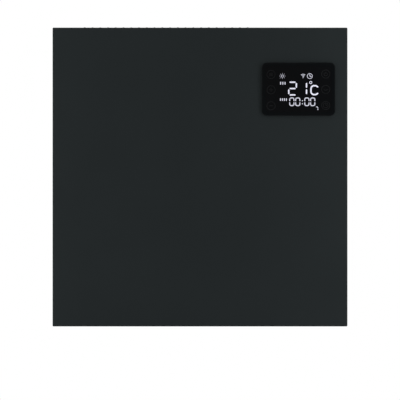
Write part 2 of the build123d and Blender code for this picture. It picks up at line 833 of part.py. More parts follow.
# Brackets of the element: folded plates that stand on the casing's back
element_brackets = {}
for name, plate_x, side in (
    ("left_element_bracket", left_plate_x, -1),
    ("right_element_bracket", right_plate_x, 1),
):
    with BuildPart() as element_bracket:
        with BuildSketch(Plane.YZ.offset(plate_x)):
            with Locations((element_y - hub_height / 2, element_centre_z)):
                plate = Rectangle(
                    casing_inner_y - element_y + hub_height / 2,
                    bracket_plate_height,
                    align=(Align.MIN, Align.CENTER),
                )
            fillet(plate.vertices().sort_by(Axis.X)[:2], collar_diameter)
            with Locations(*leg_spots):
                Circle(collar_diameter / 2 + bore_clearance, mode=Mode.SUBTRACT)
        extrude(amount=element_sheet / 2, both=True)
        with BuildSketch(facing_room(casing_inner_y)):
            with Locations((plate_x - side * element_sheet / 2, element_centre_z)):
                Rectangle(
                    bracket_foot,
                    bracket_plate_height,
                    align=(Align.MIN if side > 0 else Align.MAX, Align.CENTER),
                )
            with Locations(*bracket_rivet_spots):
                Circle(rivet_diameter / 2 + bore_clearance, mode=Mode.SUBTRACT)
        extrude(amount=element_sheet)
    element_brackets[name] = element_bracket

# Display bezel: the bevelled frame, its skirt through the cover, posts and four snap wedges
with BuildPart() as display_bezel:
    with BuildSketch(panel_plane(bezel_back_y)):
        RectangleRounded(bezel_width, bezel_height, bezel_corner)
    extrude(amount=bezel_thickness)
    chamfer(display_bezel.faces().sort_by(Axis.Y)[0].edges(), bezel_chamfer)
    with BuildSketch(panel_plane(bezel_back_y)):
        RectangleRounded(skirt_width, skirt_height, lens_corner)
        RectangleRounded(
            skirt_width - 2 * bezel_wall,
            skirt_height - 2 * bezel_wall,
            lens_corner - bezel_wall,
            mode=Mode.SUBTRACT,
        )
    extrude(amount=-skirt_depth)
    with BuildSketch(panel_plane(bezel_back_y)):
        with GridLocations(post_spacing_x, post_spacing_z, 2, 2):
            Circle(post_diameter / 2)
    extrude(amount=bezel_back_y - board_front_y)
    with BuildSketch(panel_plane(board_front_y)):
        with GridLocations(post_spacing_x, post_spacing_z, 2, 2):
            Circle(small_screw_diameter / 2 + bore_clearance)
    extrude(amount=small_screw_grip + slide_clearance, mode=Mode.SUBTRACT)
    with BuildSketch(panel_plane(bezel_back_y - bezel_thickness)):
        RectangleRounded(lens_width + 2 * bore_clearance, lens_height + 2 * bore_clearance, lens_corner)
    extrude(amount=-lens_thickness - lens_recess, mode=Mode.SUBTRACT)
    with BuildSketch(panel_plane(bezel_back_y - bezel_thickness)):
        RectangleRounded(lens_width - 2 * lens_ledge, lens_height - 2 * lens_ledge, bezel_wall)
    extrude(amount=-bezel_thickness, mode=Mode.SUBTRACT)
    for side in (-1, 1):
        for end in (-1, 1):
            wedge_z = panel_centre_z + end * skirt_height / 2
            wedge_y = front_y + cover_wall + slide_clearance
            wedge_x = panel_centre_x + side * post_spacing_x / 2
            with BuildSketch(Plane.YZ.offset(wedge_x)):
                Polygon(
                    (wedge_y, wedge_z),
                    (wedge_y, wedge_z + end * wedge_height),
                    (wedge_y + wedge_length, wedge_z),
                    align=None,
                )
            extrude(amount=post_diameter, both=True)

# Foam gasket between the bezel and the cover
with BuildPart() as display_gasket:
    with BuildSketch(panel_plane(front_y)):
        RectangleRounded(
            bezel_width - 2 * gasket_inset, bezel_height - 2 * gasket_inset, bezel_corner
        )
        RectangleRounded(
            skirt_width + 2 * slide_clearance,
            skirt_height + 2 * slide_clearance,
            lens_corner,
            mode=Mode.SUBTRACT,
        )
    extrude(amount=gasket_thickness)

# Touch lens, seated in the bezel's recess
with BuildPart() as display_lens:
    with BuildSketch(panel_plane(lens_back_y)):
        RectangleRounded(lens_width, lens_height, lens_corner - bore_clearance)
    extrude(amount=lens_thickness)

# White light guide with a window for each figure
with BuildPart() as light_guide:
    with BuildSketch(panel_plane(board_front_y)):
        Rectangle(light_guide_width, light_guide_height)
        with Locations((0, digit_offset_z)):
            with GridLocations(1.4 * digit_width, 1, 2, 1):
                Rectangle(digit_width, digit_height, mode=Mode.SUBTRACT)
        with Locations((0, digit_offset_z - digit_height)):
            with GridLocations(0.7 * digit_width, 1, 4, 1):
                Rectangle(digit_width / 2, digit_height / 2, mode=Mode.SUBTRACT)
    extrude(amount=board_front_y - lens_back_y)

# Display board behind the lens
with BuildPart() as display_board:
    with BuildSketch(panel_plane(board_front_y)):
        RectangleRounded(board_width, board_height, lens_corner - bezel_wall)
        with GridLocations(post_spacing_x, post_spacing_z, 2, 2):
            Circle(small_screw_diameter / 2 + bore_clearance, mode=Mode.SUBTRACT)
    extrude(amount=-board_thickness)

# Conductive foam pads, one under each touch key
with BuildPart() as touch_pads:
    with BuildSketch(panel_plane(board_front_y)):
        with GridLocations(key_spacing_x, key_spacing_z, 2, 3):
            Circle(touch_pad_diameter / 2)
    extrude(amount=board_front_y - lens_back_y)

# Radio module on the display board's back
with BuildPart() as radio_module:
    with BuildSketch(panel_plane(board_front_y + board_thickness)):
        with Locations((-board_width / 4, 0)):
            Rectangle(radio_width, radio_height)
    extrude(amount=-board_thickness)
    with BuildSketch(panel_plane(board_front_y + 2 * board_thickness)):
        with Locations((-board_width / 4, -board_thickness)):
            Rectangle(radio_width - 2 * board_thickness, radio_height - 4 * board_thickness)
    extrude(amount=-board_thickness / 2)

# Rear cover of the display module, with a slot for the ribbon cable
with BuildPart() as display_rear_cover:
    with BuildSketch(panel_plane(skirt_back_y)):
        RectangleRounded(skirt_width, skirt_height, lens_corner)
    extrude(amount=-module_depth)
    with BuildSketch(panel_plane(skirt_back_y)):
        RectangleRounded(
            skirt_width - 2 * bezel_wall, skirt_height - 2 * bezel_wall, lens_corner - bezel_wall
        )
    extrude(amount=-module_depth + bezel_wall, mode=Mode.SUBTRACT)
    with BuildSketch(panel_plane(skirt_back_y)):
        with Locations((ribbon_x - panel_centre_x, 0)):
            Rectangle(ribbon_width + 4 * slide_clearance, ribbon_thickness + 4 * slide_clearance)
    extrude(amount=-2 * module_depth, mode=Mode.SUBTRACT)

# Carrier of the power board: a shallow tray with four standoffs
with BuildPart() as board_carrier:
    with BuildSketch(facing_room(casing_inner_y)):
        with Locations((carrier_centre_x, carrier_centre_z)):
            RectangleRounded(carrier_width, carrier_height, standoff_diameter / 2)
    extrude(amount=carrier_rim)
    with BuildSketch(facing_room(casing_inner_y - carrier_floor)):
        with Locations((carrier_centre_x, carrier_centre_z)):
            RectangleRounded(
                carrier_width - bezel_wall * 2, carrier_height - bezel_wall * 2, bezel_wall
            )
    extrude(amount=carrier_rim, mode=Mode.SUBTRACT)
    with BuildSketch(facing_room(casing_inner_y - carrier_floor)):
        with Locations(*standoff_spots):
            Circle(standoff_diameter / 2)
    extrude(amount=standoff_height)
    with BuildSketch(facing_room(power_back_y)):
        with Locations(*standoff_spots):
            Circle(small_screw_diameter / 2 + bore_clearance)
    extrude(amount=-small_screw_grip - slide_clearance, mode=Mode.SUBTRACT)
    with BuildSketch(facing_room(casing_inner_y)):
        with Locations(*carrier_rivet_spots):
            Circle(rivet_diameter / 2 + bore_clearance)
    extrude(amount=carrier_floor, mode=Mode.SUBTRACT)

# Power board
with BuildPart() as power_board:
    with BuildSketch(facing_room(power_back_y)):
        with Locations((carrier_centre_x, carrier_centre_z)):
            Rectangle(carrier_width - 2 * board_margin, carrier_height - 2 * board_margin)
        with Locations(*standoff_spots):
            Circle(small_screw_diameter / 2 + bore_clearance, mode=Mode.SUBTRACT)
    extrude(amount=board_thickness)

# Small screws of both boards
with BuildPart() as board_screws:
    with BuildSketch(facing_room(power_front_y)):
        with Locations(*standoff_spots):
            Circle(small_head_diameter / 2)
    extrude(amount=small_head_height)
    with BuildSketch(facing_room(power_front_y)):
        with Locations(*standoff_spots):
            Circle(small_screw_diameter / 2)
    extrude(amount=-board_thickness - small_screw_grip)
    with BuildSketch(panel_plane(board_front_y + board_thickness)):
        with GridLocations(post_spacing_x, post_spacing_z, 2, 2):
            Circle(small_screw_diameter / 2)
    extrude(amount=board_thickness + small_screw_grip)
    with BuildSketch(panel_plane(board_front_y + board_thickness)):
        with GridLocations(post_spacing_x, post_spacing_z, 2, 2):
            Circle(small_screw_diameter / 2 + small_head_rim)
    extrude(amount=-small_head_height)

# Screw terminals along the board's lower edge
with BuildPart() as board_terminals:
    with BuildSketch(facing_room(power_front_y)):
        with Locations((carrier_centre_x, board_bottom_z)):
            Rectangle(terminal_row, terminal_block_size, align=(Align.CENTER, Align.MIN))
    extrude(amount=terminal_block_size)
    chamfer(board_terminals.edges().group_by(Axis.Y)[0].sort_by(Axis.Z)[-1], 3)
    with BuildSketch(Plane.XY.offset(board_bottom_z)):
        with Locations(*[(x, terminals_y) for x in terminal_spots]):
            Circle(wire_diameter / 2 + bore_clearance)
    extrude(amount=wire_entry, mode=Mode.SUBTRACT)


def board_block(x, z, width, height, depth, corner):
    """A moulded component that stands on the power board."""
    with BuildPart() as block:
        with BuildSketch(facing_room(power_front_y)):
            with Locations((carrier_centre_x + x, carrier_centre_z + z)):
                Rectangle(width, height)
        extrude(amount=depth)
        fillet(block.faces().sort_by(Axis.Y)[0].edges(), corner)
    return block


power_relay = board_block(*relay_offset, relay_width, relay_height, relay_depth, moulded_corner)
mains_fuse = board_block(*fuse_offset, fuse_width, fuse_height, fuse_width, fuse_corner)
ribbon_header = board_block(
    ribbon_x - carrier_centre_x,
    header_offset_z,
    header_width,
    header_depth,
    header_depth,
    moulded_corner,
)

# Transformer: a laminated core round its coil former
transformer_spot = (
    carrier_centre_x + transformer_offset[0],
    carrier_centre_z + transformer_offset[1],
)
with BuildPart() as transformer:
    with BuildSketch(facing_room(power_front_y)):
        with Locations(transformer_spot):
            Rectangle(core_width, core_height)
    extrude(amount=core_depth)
    with BuildSketch(facing_room(power_front_y)):
        with Locations(transformer_spot):
            RectangleRounded(former_width, core_width, former_corner)
    extrude(amount=former_depth)

# Filter capacitor
capacitor_spot = (
    carrier_centre_x + capacitor_offset[0],
    carrier_centre_z + capacitor_offset[1],
)
with BuildPart() as filter_capacitor:
    with BuildSketch(facing_room(power_front_y)):
        with Locations(capacitor_spot):
            Circle(capacitor_diameter / 2)
    extrude(amount=capacitor_length)
    fillet(filter_capacitor.faces().sort_by(Axis.Y)[0].edges(), capacitor_corner)

# Thermal cut-out on the duct's wall: its cap reaches into the duct above the element
with BuildPart() as thermal_cutout:
    with BuildSketch(Plane.YZ.offset(duct_right - cutout_cap)):
        with Locations((element_y, cutout_z)):
            Circle(cutout_diameter / 2)
    extrude(amount=cutout_cap + cutout_length)
    with BuildSketch(Plane.YZ.offset(duct_right)):
        with Locations((element_y, cutout_z)):
            SlotOverall(cutout_flange, cutout_diameter, rotation=90)
            with GridLocations(1, cutout_screw_spacing, 1, 2):
                Circle(small_screw_diameter / 2 + bore_clearance, mode=Mode.SUBTRACT)
    extrude(amount=element_sheet)
    with BuildSketch(Plane.YZ.offset(duct_right + cutout_length)):
        with Locations((element_y, cutout_z)):
            with GridLocations(1, cutout_tab_spacing, 1, 2):
                Rectangle(tab_width, tab_thickness)
    extrude(amount=tab_length)

# Screws of the thermal cut-out
with BuildPart() as cutout_screws:
    for level, radius, length in (
        (duct_right + element_sheet, small_screw_diameter / 2 + small_head_rim, small_head_height),
        (duct_right + element_sheet, small_screw_diameter / 2, -element_sheet - small_screw_grip),
    ):
        with BuildSketch(Plane.YZ.offset(level)):
            with Locations((element_y, cutout_z)):
                with GridLocations(1, cutout_screw_spacing, 1, 2):
                    Circle(radius)
        extrude(amount=length)

# Grommets where the element's wires leave the duct
with BuildPart() as lead_grommets:
    for level, radius, length in (
        (duct_right - duct_wall, grommet_diameter / 2, duct_wall),
        (duct_right, grommet_diameter / 2 + 1.5, 1.5),
        (duct_right - duct_wall, grommet_diameter / 2 + 1.5, -1.5),
    ):
        with BuildSketch(Plane.YZ.offset(level)):
            with Locations(*leg_spots):
                Circle(radius)
                Circle(wire_diameter / 2 + bore_clearance, mode=Mode.SUBTRACT)
        extrude(amount=length)

# Supply terminal block on the casing's back
with BuildPart() as terminal_block:
    with BuildSketch(facing_room(casing_inner_y)):
        with Locations((block_centre_x, block_centre_z)):
            Rectangle(block_width, block_height)
    extrude(amount=block_depth)
    chamfer(terminal_block.faces().sort_by(Axis.Y)[0].edges(), 1.5)
    with BuildSketch(Plane.XY.offset(block_top_z)):
        with Locations((supply_x[0], near_wire_y), (supply_x[1], far_wire_y), (earth_wire_x, far_wire_y)):
            Circle(wire_diameter / 2 + bore_clearance)
    extrude(amount=-wire_entry, mode=Mode.SUBTRACT)

# Earth stud with its tag and nut
with BuildPart() as earth_stud:
    with BuildSketch(facing_room(casing_inner_y)):
        with Locations((earth_x, earth_z)):
            Circle(earth_stud_diameter / 2)
    extrude(amount=earth_stud_length)
    chamfer(earth_stud.faces().sort_by(Axis.Y)[0].edges(), 0.5)
with BuildPart() as earth_tag:
    with BuildSketch(facing_room(casing_inner_y)):
        with Locations((earth_x, earth_z)):
            Circle(earth_stud_diameter)
            Rectangle(
                earth_stud_diameter, earth_tag_top - earth_z, align=(Align.CENTER, Align.MIN)
            )
            Circle(earth_stud_diameter / 2 + bore_clearance, mode=Mode.SUBTRACT)
    extrude(amount=clip_sheet)
    with BuildSketch(Plane.XY.offset(earth_tag_top)):
        with Locations((earth_x, casing_inner_y - barrel_radius)):
            Circle(barrel_radius)
    extrude(amount=-barrel_radius * 2)
with BuildPart() as earth_nut:
    with BuildSketch(facing_room(casing_inner_y - clip_sheet)):
        with Locations((earth_x, earth_z)):
            RegularPolygon(earth_nut_hex / 2, 6, major_radius=False)
            Circle(earth_stud_diameter / 2 + bore_clearance, mode=Mode.SUBTRACT)
    extrude(amount=earth_nut_height)

# Cable gland in the casing's underside, and its nut
with BuildPart() as cable_gland:
    for level, radius, length in (
        (casing_bottom_z, gland_thread / 2, casing_wall + gland_inside),
        (casing_bottom_z - gland_hex_height, gland_thread / 2 + 1, -gland_dome),
    ):
        with BuildSketch(Plane.XY.offset(level)):
            with Locations((block_centre_x, wire_y)):
                Circle(radius)
        extrude(amount=length)
    fillet(cable_gland.faces().sort_by(Axis.Z)[0].edges(), 1.5)
    with BuildSketch(Plane.XY.offset(casing_bottom_z)):
        with Locations((block_centre_x, wire_y)):
            RegularPolygon(gland_hex / 2, 6, major_radius=False)
    extrude(amount=-gland_hex_height)
    with BuildSketch(Plane.XY.offset(casing_bottom_z)):
        with Locations((block_centre_x, wire_y)):
            Circle(gland_bore / 2)
    extrude(amount=4 * gland_inside, both=True, mode=Mode.SUBTRACT)
with BuildPart() as gland_nut:
    with BuildSketch(Plane.XY.offset(casing_bottom_z + casing_wall)):
        with Locations((block_centre_x, wire_y)):
            RegularPolygon(gland_hex / 2, 6, major_radius=False)
            Circle(gland_thread / 2 + bore_clearance, mode=Mode.SUBTRACT)
    extrude(amount=gland_hex_height - 1)

# Room sensor in a clip on the cover's underside
with BuildPart() as sensor_clip:
    with BuildSketch(Plane.XY.offset(cover_wall - cover_top)):
        with Locations((sensor_x, sensor_y)):
            Rectangle(16, 12)
    extrude(amount=2)
    with BuildSketch(Plane.XY.offset(cover_wall - cover_top)):
        with Locations((sensor_x, sensor_y)):
            Circle(sensor_diameter / 2 + 1.6)
    extrude(amount=12)
    with BuildSketch(Plane.XY.offset(sensor_bottom_z)):
        with Locations((sensor_x, sensor_y)):
            Circle(sensor_diameter / 2 + bore_clearance)
    extrude(amount=sensor_length, mode=Mode.SUBTRACT)
with BuildPart() as room_sensor:
    with BuildSketch(Plane.XY.offset(sensor_bottom_z)):
        with Locations((sensor_x, sensor_y)):
            Circle(sensor_diameter / 2)
    extrude(amount=sensor_length)
    fillet(room_sensor.faces().sort_by(Axis.Z)[0].edges(), sensor_diameter / 3)


def wire(*points):
    """A wire along straight runs joined by arcs."""
    with BuildPart() as lead:
        with BuildLine() as route:
            FilletPolyline(*points, radius=wire_bend)
        with BuildSketch(Plane(origin=points[0], z_dir=route.line % 0)):
            Circle(wire_diameter / 2)
        sweep(path=route.line)
    return lead.part


# Wires of the mains switch: two from the supply block and two on to the power board
lower_row_z = switch_z - tab_spacing_z / 2
upper_row_z = switch_z + tab_spacing_z / 2
entry_z = board_bottom_z + wire_entry
switch_wires = [
    wire(
        (supply_x[0], near_wire_y, block_top_z - wire_entry),
        (supply_x[0], near_wire_y, lower_row_z),
        (tab_end_x, near_wire_y, lower_row_z),
    ),
    wire(
        (supply_x[1], far_wire_y, block_top_z - wire_entry),
        (supply_x[1], far_wire_y, lower_row_z),
        (tab_end_x, far_wire_y, lower_row_z),
    ),
    wire(
        (tab_end_x, near_wire_y, upper_row_z),
        (terminal_spots[4], near_wire_y, upper_row_z),
        (terminal_spots[4], terminals_y, entry_z),
    ),
    wire(
        (tab_end_x, far_wire_y, upper_row_z),
        (terminal_spots[3], far_wire_y, upper_row_z),
        (terminal_spots[3], terminals_y, board_bottom_z - 4 * wire_bend),
        (terminal_spots[3], terminals_y, entry_z),
    ),
]
with BuildPart() as switch_wiring:
    add(switch_wires)

# Wires from the board through the thermal cut-out to the element, and back
upper_leg_z = element_centre_z + leg_spacing / 2
lower_leg_z = element_centre_z - leg_spacing / 2
cutout_tab_x = duct_right + cutout_length + tab_length
riser_x = cutout_tab_x + 2 * wire_bend
element_wires = [
    wire(
        (terminal_end_x, element_y, upper_leg_z),
        (riser_x, element_y, upper_leg_z),
        (riser_x, element_y, cutout_z - cutout_tab_spacing / 2),
        (cutout_tab_x, element_y, cutout_z - cutout_tab_spacing / 2),
    ),
    wire(
        (terminal_end_x, element_y, lower_leg_z),
        (terminal_spots[1], element_y, lower_leg_z),
        (terminal_spots[1], terminals_y, lower_leg_z + 5 * wire_bend),
        (terminal_spots[1], terminals_y, entry_z),
    ),
    wire(
        (cutout_tab_x, element_y, cutout_z + cutout_tab_spacing / 2),
        (terminal_spots[0], element_y, cutout_z + cutout_tab_spacing / 2),
        (terminal_spots[0], element_y, board_bottom_z - 3 * wire_bend),
        (terminal_spots[0], terminals_y, board_bottom_z - 3 * wire_bend),
        (terminal_spots[0], terminals_y, entry_z),
    ),
]
with BuildPart() as element_wiring:
    add(element_wires)

# Earth wire from the supply block to the tag on the casing
earth_wire = wire(
    (earth_wire_x, far_wire_y, block_top_z - wire_entry),
    (earth_wire_x, far_wire_y, block_top_z + 2 * wire_bend),
    (earth_x, casing_inner_y - barrel_radius, block_top_z + 3 * wire_bend),
    (earth_x, casing_inner_y - barrel_radius, earth_tag_top),
)
with BuildPart() as earth_lead:
    add(earth_wire)

# Wire of the room sensor, up to the power board
sensor_wire = wire(
    (sensor_x, sensor_y, sensor_bottom_z + sensor_length),
    (sensor_x, sensor_y, board_bottom_z - 7 * wire_bend),
    (terminal_spots[2], terminals_y, board_bottom_z - 4 * wire_bend),
    (terminal_spots[2], terminals_y, entry_z),
)
with BuildPart() as sensor_lead:
    add(sensor_wire)

# Flat ribbon cable from the display board to the power board
with BuildPart() as ribbon_cable:
    with BuildSketch(Plane.YZ.offset(ribbon_x)):
        with BuildLine():
            FilletPolyline(
                (board_front_y + board_thickness + ribbon_thickness, panel_centre_z),
                (ribbon_down_y, panel_centre_z),
                (ribbon_down_y, ribbon_end_z),
                (ribbon_end_y - ribbon_thickness, ribbon_end_z),
                radius=wire_bend,
            )
            offset(amount=ribbon_thickness / 2)
        make_face()
    extrude(amount=ribbon_width / 2, both=True)

# Mains switch: housing, four tabs and the rocker on its two trunnions
with BuildPart() as switch_housing:
    with BuildSketch(Plane.YZ.offset(casing_right - switch_depth)):
        with Locations((wire_y, switch_z)):
            Rectangle(switch_body_width, switch_body_height)
    extrude(amount=switch_depth + switch_flange_thickness)
    with BuildSketch(Plane.YZ.offset(casing_right)):
        with Locations((wire_y, switch_z)):
            RectangleRounded(
                switch_body_width + 2 * switch_flange,
                switch_body_height + 2 * switch_flange,
                switch_flange,
            )
    extrude(amount=switch_flange_thickness)
    with BuildSketch(Plane.YZ.offset(casing_right - switch_depth / 2)):
        with Locations((wire_y, switch_z)):
            Rectangle(switch_body_width - 2 * switch_wall, switch_cavity)
    extrude(amount=switch_depth, mode=Mode.SUBTRACT)
    with BuildSketch(facing_room(wire_y)):
        with Locations((rocker_pivot_x, switch_z)):
            Circle(trunnion_diameter / 2 + pin_clearance)
    extrude(amount=switch_body_width, both=True, mode=Mode.SUBTRACT)
with BuildPart() as switch_terminals:
    with BuildSketch(Plane.YZ.offset(tab_end_x)):
        with Locations((wire_y, switch_z)):
            with GridLocations(tab_spacing_y, tab_spacing_z, 2, 2):
                Rectangle(tab_thickness, tab_width)
    extrude(amount=tab_length)
with BuildPart() as rocker:
    tilt = radians(switch_angle)
    rocker_plane = Plane(
        origin=(rocker_pivot_x, wire_y, switch_z),
        x_dir=(cos(tilt), 0, -sin(tilt)),
        z_dir=(0, -1, 0),
    )
    with BuildSketch(rocker_plane):
        with BuildLine():
            Polyline(
                (rocker_reach, rocker_half),
                (-rocker_root / 3, rocker_half),
                (-rocker_root, rocker_half / 2),
                (-rocker_root, -rocker_half / 2),
                (-rocker_root / 3, -rocker_half),
                (rocker_reach, -rocker_half),
            )
            ThreePointArc(
                (rocker_reach, -rocker_half), (rocker_dish, 0), (rocker_reach, rocker_half)
            )
        make_face()
    extrude(amount=rocker_width / 2, both=True)
    with BuildSketch(rocker_plane):
        Circle(trunnion_diameter / 2)
    extrude(amount=rocker_width / 2 + trunnion_overhang, both=True)

pieces = {
    "wall_bracket": wall_bracket,
    "clip_rivets": clip_rivets,
    "bracket_bumpers": bracket_bumpers,
    "front_cover": front_cover,
    "rear_casing": rear_casing,
    "casing_screws": casing_screws,
    "outlet_grille": outlet_grille,
    "inlet_grille": inlet_grille,
    "air_duct": air_duct,
    "pivot_pins": pivot_pins,
    "keeper_studs": keeper_studs,
    "casing_rivets": casing_rivets,
    "element_fins": element_fins,
    "heating_rod": heating_rod,
    "element_terminals": element_terminals,
    "element_insulators": element_insulators,
    "display_bezel": display_bezel,
    "display_gasket": display_gasket,
    "display_lens": display_lens,
    "light_guide": light_guide,
    "display_board": display_board,
    "touch_pads": touch_pads,
    "radio_module": radio_module,
    "display_rear_cover": display_rear_cover,
    "board_carrier": board_carrier,
    "power_board": power_board,
    "board_screws": board_screws,
    "board_terminals": board_terminals,
    "power_relay": power_relay,
    "mains_fuse": mains_fuse,
    "ribbon_header": ribbon_header,
    "transformer": transformer,
    "filter_capacitor": filter_capacitor,
    "thermal_cutout": thermal_cutout,
    "cutout_screws": cutout_screws,
    "lead_grommets": lead_grommets,
    "terminal_block": terminal_block,
    "earth_stud": earth_stud,
    "earth_tag": earth_tag,
    "earth_nut": earth_nut,
    "cable_gland": cable_gland,
    "gland_nut": gland_nut,
    "sensor_clip": sensor_clip,
    "room_sensor": room_sensor,
    "switch_wiring": switch_wiring,
    "element_wiring": element_wiring,
    "earth_lead": earth_lead,
    "sensor_lead": sensor_lead,
    "ribbon_cable": ribbon_cable,
    "switch_housing": switch_housing,
    "switch_terminals": switch_terminals,
    "rocker": rocker,
    **snap_clips,
    **pivot_ears,
    **element_brackets,
}
for name, piece in pieces.items():
    piece.part.label = name
    export_step(piece.part, f"parts/{name}.step")
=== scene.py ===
import math

import bmesh
import bpy
from mathutils import Matrix, Vector


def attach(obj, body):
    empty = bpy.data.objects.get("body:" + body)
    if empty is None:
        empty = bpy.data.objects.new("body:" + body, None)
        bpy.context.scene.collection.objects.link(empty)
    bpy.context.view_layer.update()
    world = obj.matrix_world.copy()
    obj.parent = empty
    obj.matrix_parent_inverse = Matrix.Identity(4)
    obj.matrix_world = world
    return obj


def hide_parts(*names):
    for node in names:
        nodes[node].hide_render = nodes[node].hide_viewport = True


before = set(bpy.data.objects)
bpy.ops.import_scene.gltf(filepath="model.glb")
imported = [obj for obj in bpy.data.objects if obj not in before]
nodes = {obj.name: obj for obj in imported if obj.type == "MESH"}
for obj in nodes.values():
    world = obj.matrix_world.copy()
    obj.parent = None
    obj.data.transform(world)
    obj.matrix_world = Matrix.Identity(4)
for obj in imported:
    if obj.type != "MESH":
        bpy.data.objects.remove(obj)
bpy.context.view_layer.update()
MM = 0.001

# Signs on the lens and marks elsewhere, in millimetres
LENS_FACE_Y = -101.4
SIGN_LIFT = 0.06
SIGN_THICKNESS = 0.12
SIGN_SHIFT_X, SIGN_SHIFT_Z = -0.35, -0.75
MARK_LIFT = 0.03

# Coarseness of round outlines
ARC_STEP = math.radians(12)
CAPSULE_STEPS = 6
DISC_POINTS = 28

# Middle range of the noise that makes colour and roughness wander
NOISE_SPAN = (0.3, 0.7)
DUST_COLOUR = (0.23, 0.22, 0.2)
GLOW_COLOUR = (0.74, 0.74, 0.86, 1.0)


# Materials
def add_node(tree, kind, **settings):
    """A shader node with its properties set."""
    node = tree.nodes.new(kind)
    for name, value in settings.items():
        setattr(node, name, value)
    return node


def surface_noise(tree, coordinates, scale, detail, stretch=(1, 1, 1)):
    """Noise over the surface, in cells per metre, stretched along an axis for brushed metal."""
    mapping = add_node(tree, "ShaderNodeMapping")
    mapping.inputs["Scale"].default_value = stretch
    noise = add_node(tree, "ShaderNodeTexNoise")
    noise.inputs["Scale"].default_value = scale
    noise.inputs["Detail"].default_value = detail
    tree.links.new(coordinates, mapping.inputs["Vector"])
    tree.links.new(mapping.outputs["Vector"], noise.inputs["Vector"])
    return noise.outputs["Fac"]


def remap(tree, value, low, high, new_low, new_high):
    """A value's range low to high, spread over new_low to new_high."""
    node = add_node(tree, "ShaderNodeMapRange", clamp=True)
    for socket, number in zip(("From Min", "From Max", "To Min", "To Max"), (low, high, new_low, new_high)):
        node.inputs[socket].default_value = number
    tree.links.new(value, node.inputs["Value"])
    return node.outputs["Result"]


def mix_colour(tree, factor, first, second):
    """A colour between two, each of them a link or three numbers."""
    node = add_node(tree, "ShaderNodeMix", data_type="RGBA")
    tree.links.new(factor, node.inputs["Factor"])
    for socket, colour in ((node.inputs[6], first), (node.inputs[7], second)):
        if isinstance(colour, (tuple, list)):
            socket.default_value = (*colour, 1.0)
        else:
            tree.links.new(colour, socket)
    return node.outputs[2]


def multiply(tree, first, second):
    node = add_node(tree, "ShaderNodeMath", operation="MULTIPLY")
    tree.links.new(first, node.inputs[0])
    tree.links.new(second, node.inputs[1])
    return node.outputs[0]


def make_finish(
    name,
    colour,
    roughness,
    metallic=0.0,
    specular=0.5,
    coat=0.0,
    tone=0.12,
    spread=0.08,
    grain=700.0,
    relief=0.12,
    depth=0.00008,
    stretch=(1, 1, 1),
    dust=0.0,
    scuffs=0.0,
    cells=0.0,
):
    """A material whose colour, roughness and relief come from nodes.

    tone and spread are how far colour and roughness wander, grain the relief's cells per metre,
    dust what settles on faces that look up, scuffs the fine rubs, and cells the size of zinc's
    spangle.
    """
    material = bpy.data.materials.new(name)
    material.use_nodes = True
    tree = material.node_tree
    shader = tree.nodes["Principled BSDF"]
    coordinates = add_node(tree, "ShaderNodeTexCoord").outputs["Object"]

    broad = surface_noise(tree, coordinates, 9.0, 4.0)
    fine = surface_noise(tree, coordinates, grain, 3.0, stretch)
    dark = tuple(c * (1 - tone) for c in colour)
    light = tuple(min(1.0, c * (1 + tone)) for c in colour)
    base = mix_colour(tree, remap(tree, broad, *NOISE_SPAN, 0.0, 1.0), dark, light)
    rough = remap(tree, broad, *NOISE_SPAN, roughness - spread, roughness + spread)

    if cells:
        spangle = add_node(tree, "ShaderNodeTexVoronoi", feature="F1")
        spangle.inputs["Scale"].default_value = cells
        tree.links.new(coordinates, spangle.inputs["Vector"])
        flakes = add_node(tree, "ShaderNodeSeparateColor")
        tree.links.new(spangle.outputs["Color"], flakes.inputs["Color"])
        brighter = tuple(min(1.0, c * 1.25) for c in colour)
        base = mix_colour(tree, remap(tree, flakes.outputs["Red"], 0.0, 1.0, 0.0, 0.6), base, brighter)
    if scuffs:
        streaks = surface_noise(tree, coordinates, 60.0, 6.0, (1.0, 1.0, 5.0))
        rubbed = remap(tree, streaks, 0.62, 0.75, 0.0, scuffs)
        paler = tuple(min(1.0, c * 1.6 + 0.01) for c in colour)
        base = mix_colour(tree, rubbed, base, paler)
    if dust:
        normal = add_node(tree, "ShaderNodeNewGeometry").outputs["Normal"]
        axes = add_node(tree, "ShaderNodeSeparateXYZ")
        tree.links.new(normal, axes.inputs["Vector"])
        upward = remap(tree, axes.outputs["Z"], 0.6, 1.0, 0.0, dust)
        specks = remap(tree, surface_noise(tree, coordinates, 220.0, 8.0), 0.4, 0.7, 0.2, 1.0)
        base = mix_colour(tree, multiply(tree, upward, specks), base, DUST_COLOUR)

    bump = add_node(tree, "ShaderNodeBump")
    bump.inputs["Strength"].default_value = relief
    bump.inputs["Distance"].default_value = depth
    tree.links.new(fine, bump.inputs["Height"])
    tree.links.new(base, shader.inputs["Base Color"])
    tree.links.new(rough, shader.inputs["Roughness"])
    tree.links.new(bump.outputs["Normal"], shader.inputs["Normal"])
    shader.inputs["Metallic"].default_value = metallic
    shader.inputs["Specular IOR Level"].default_value = specular
    shader.inputs["Coat Weight"].default_value = coat
    material.diffuse_color = (*colour, 1.0)
    return material


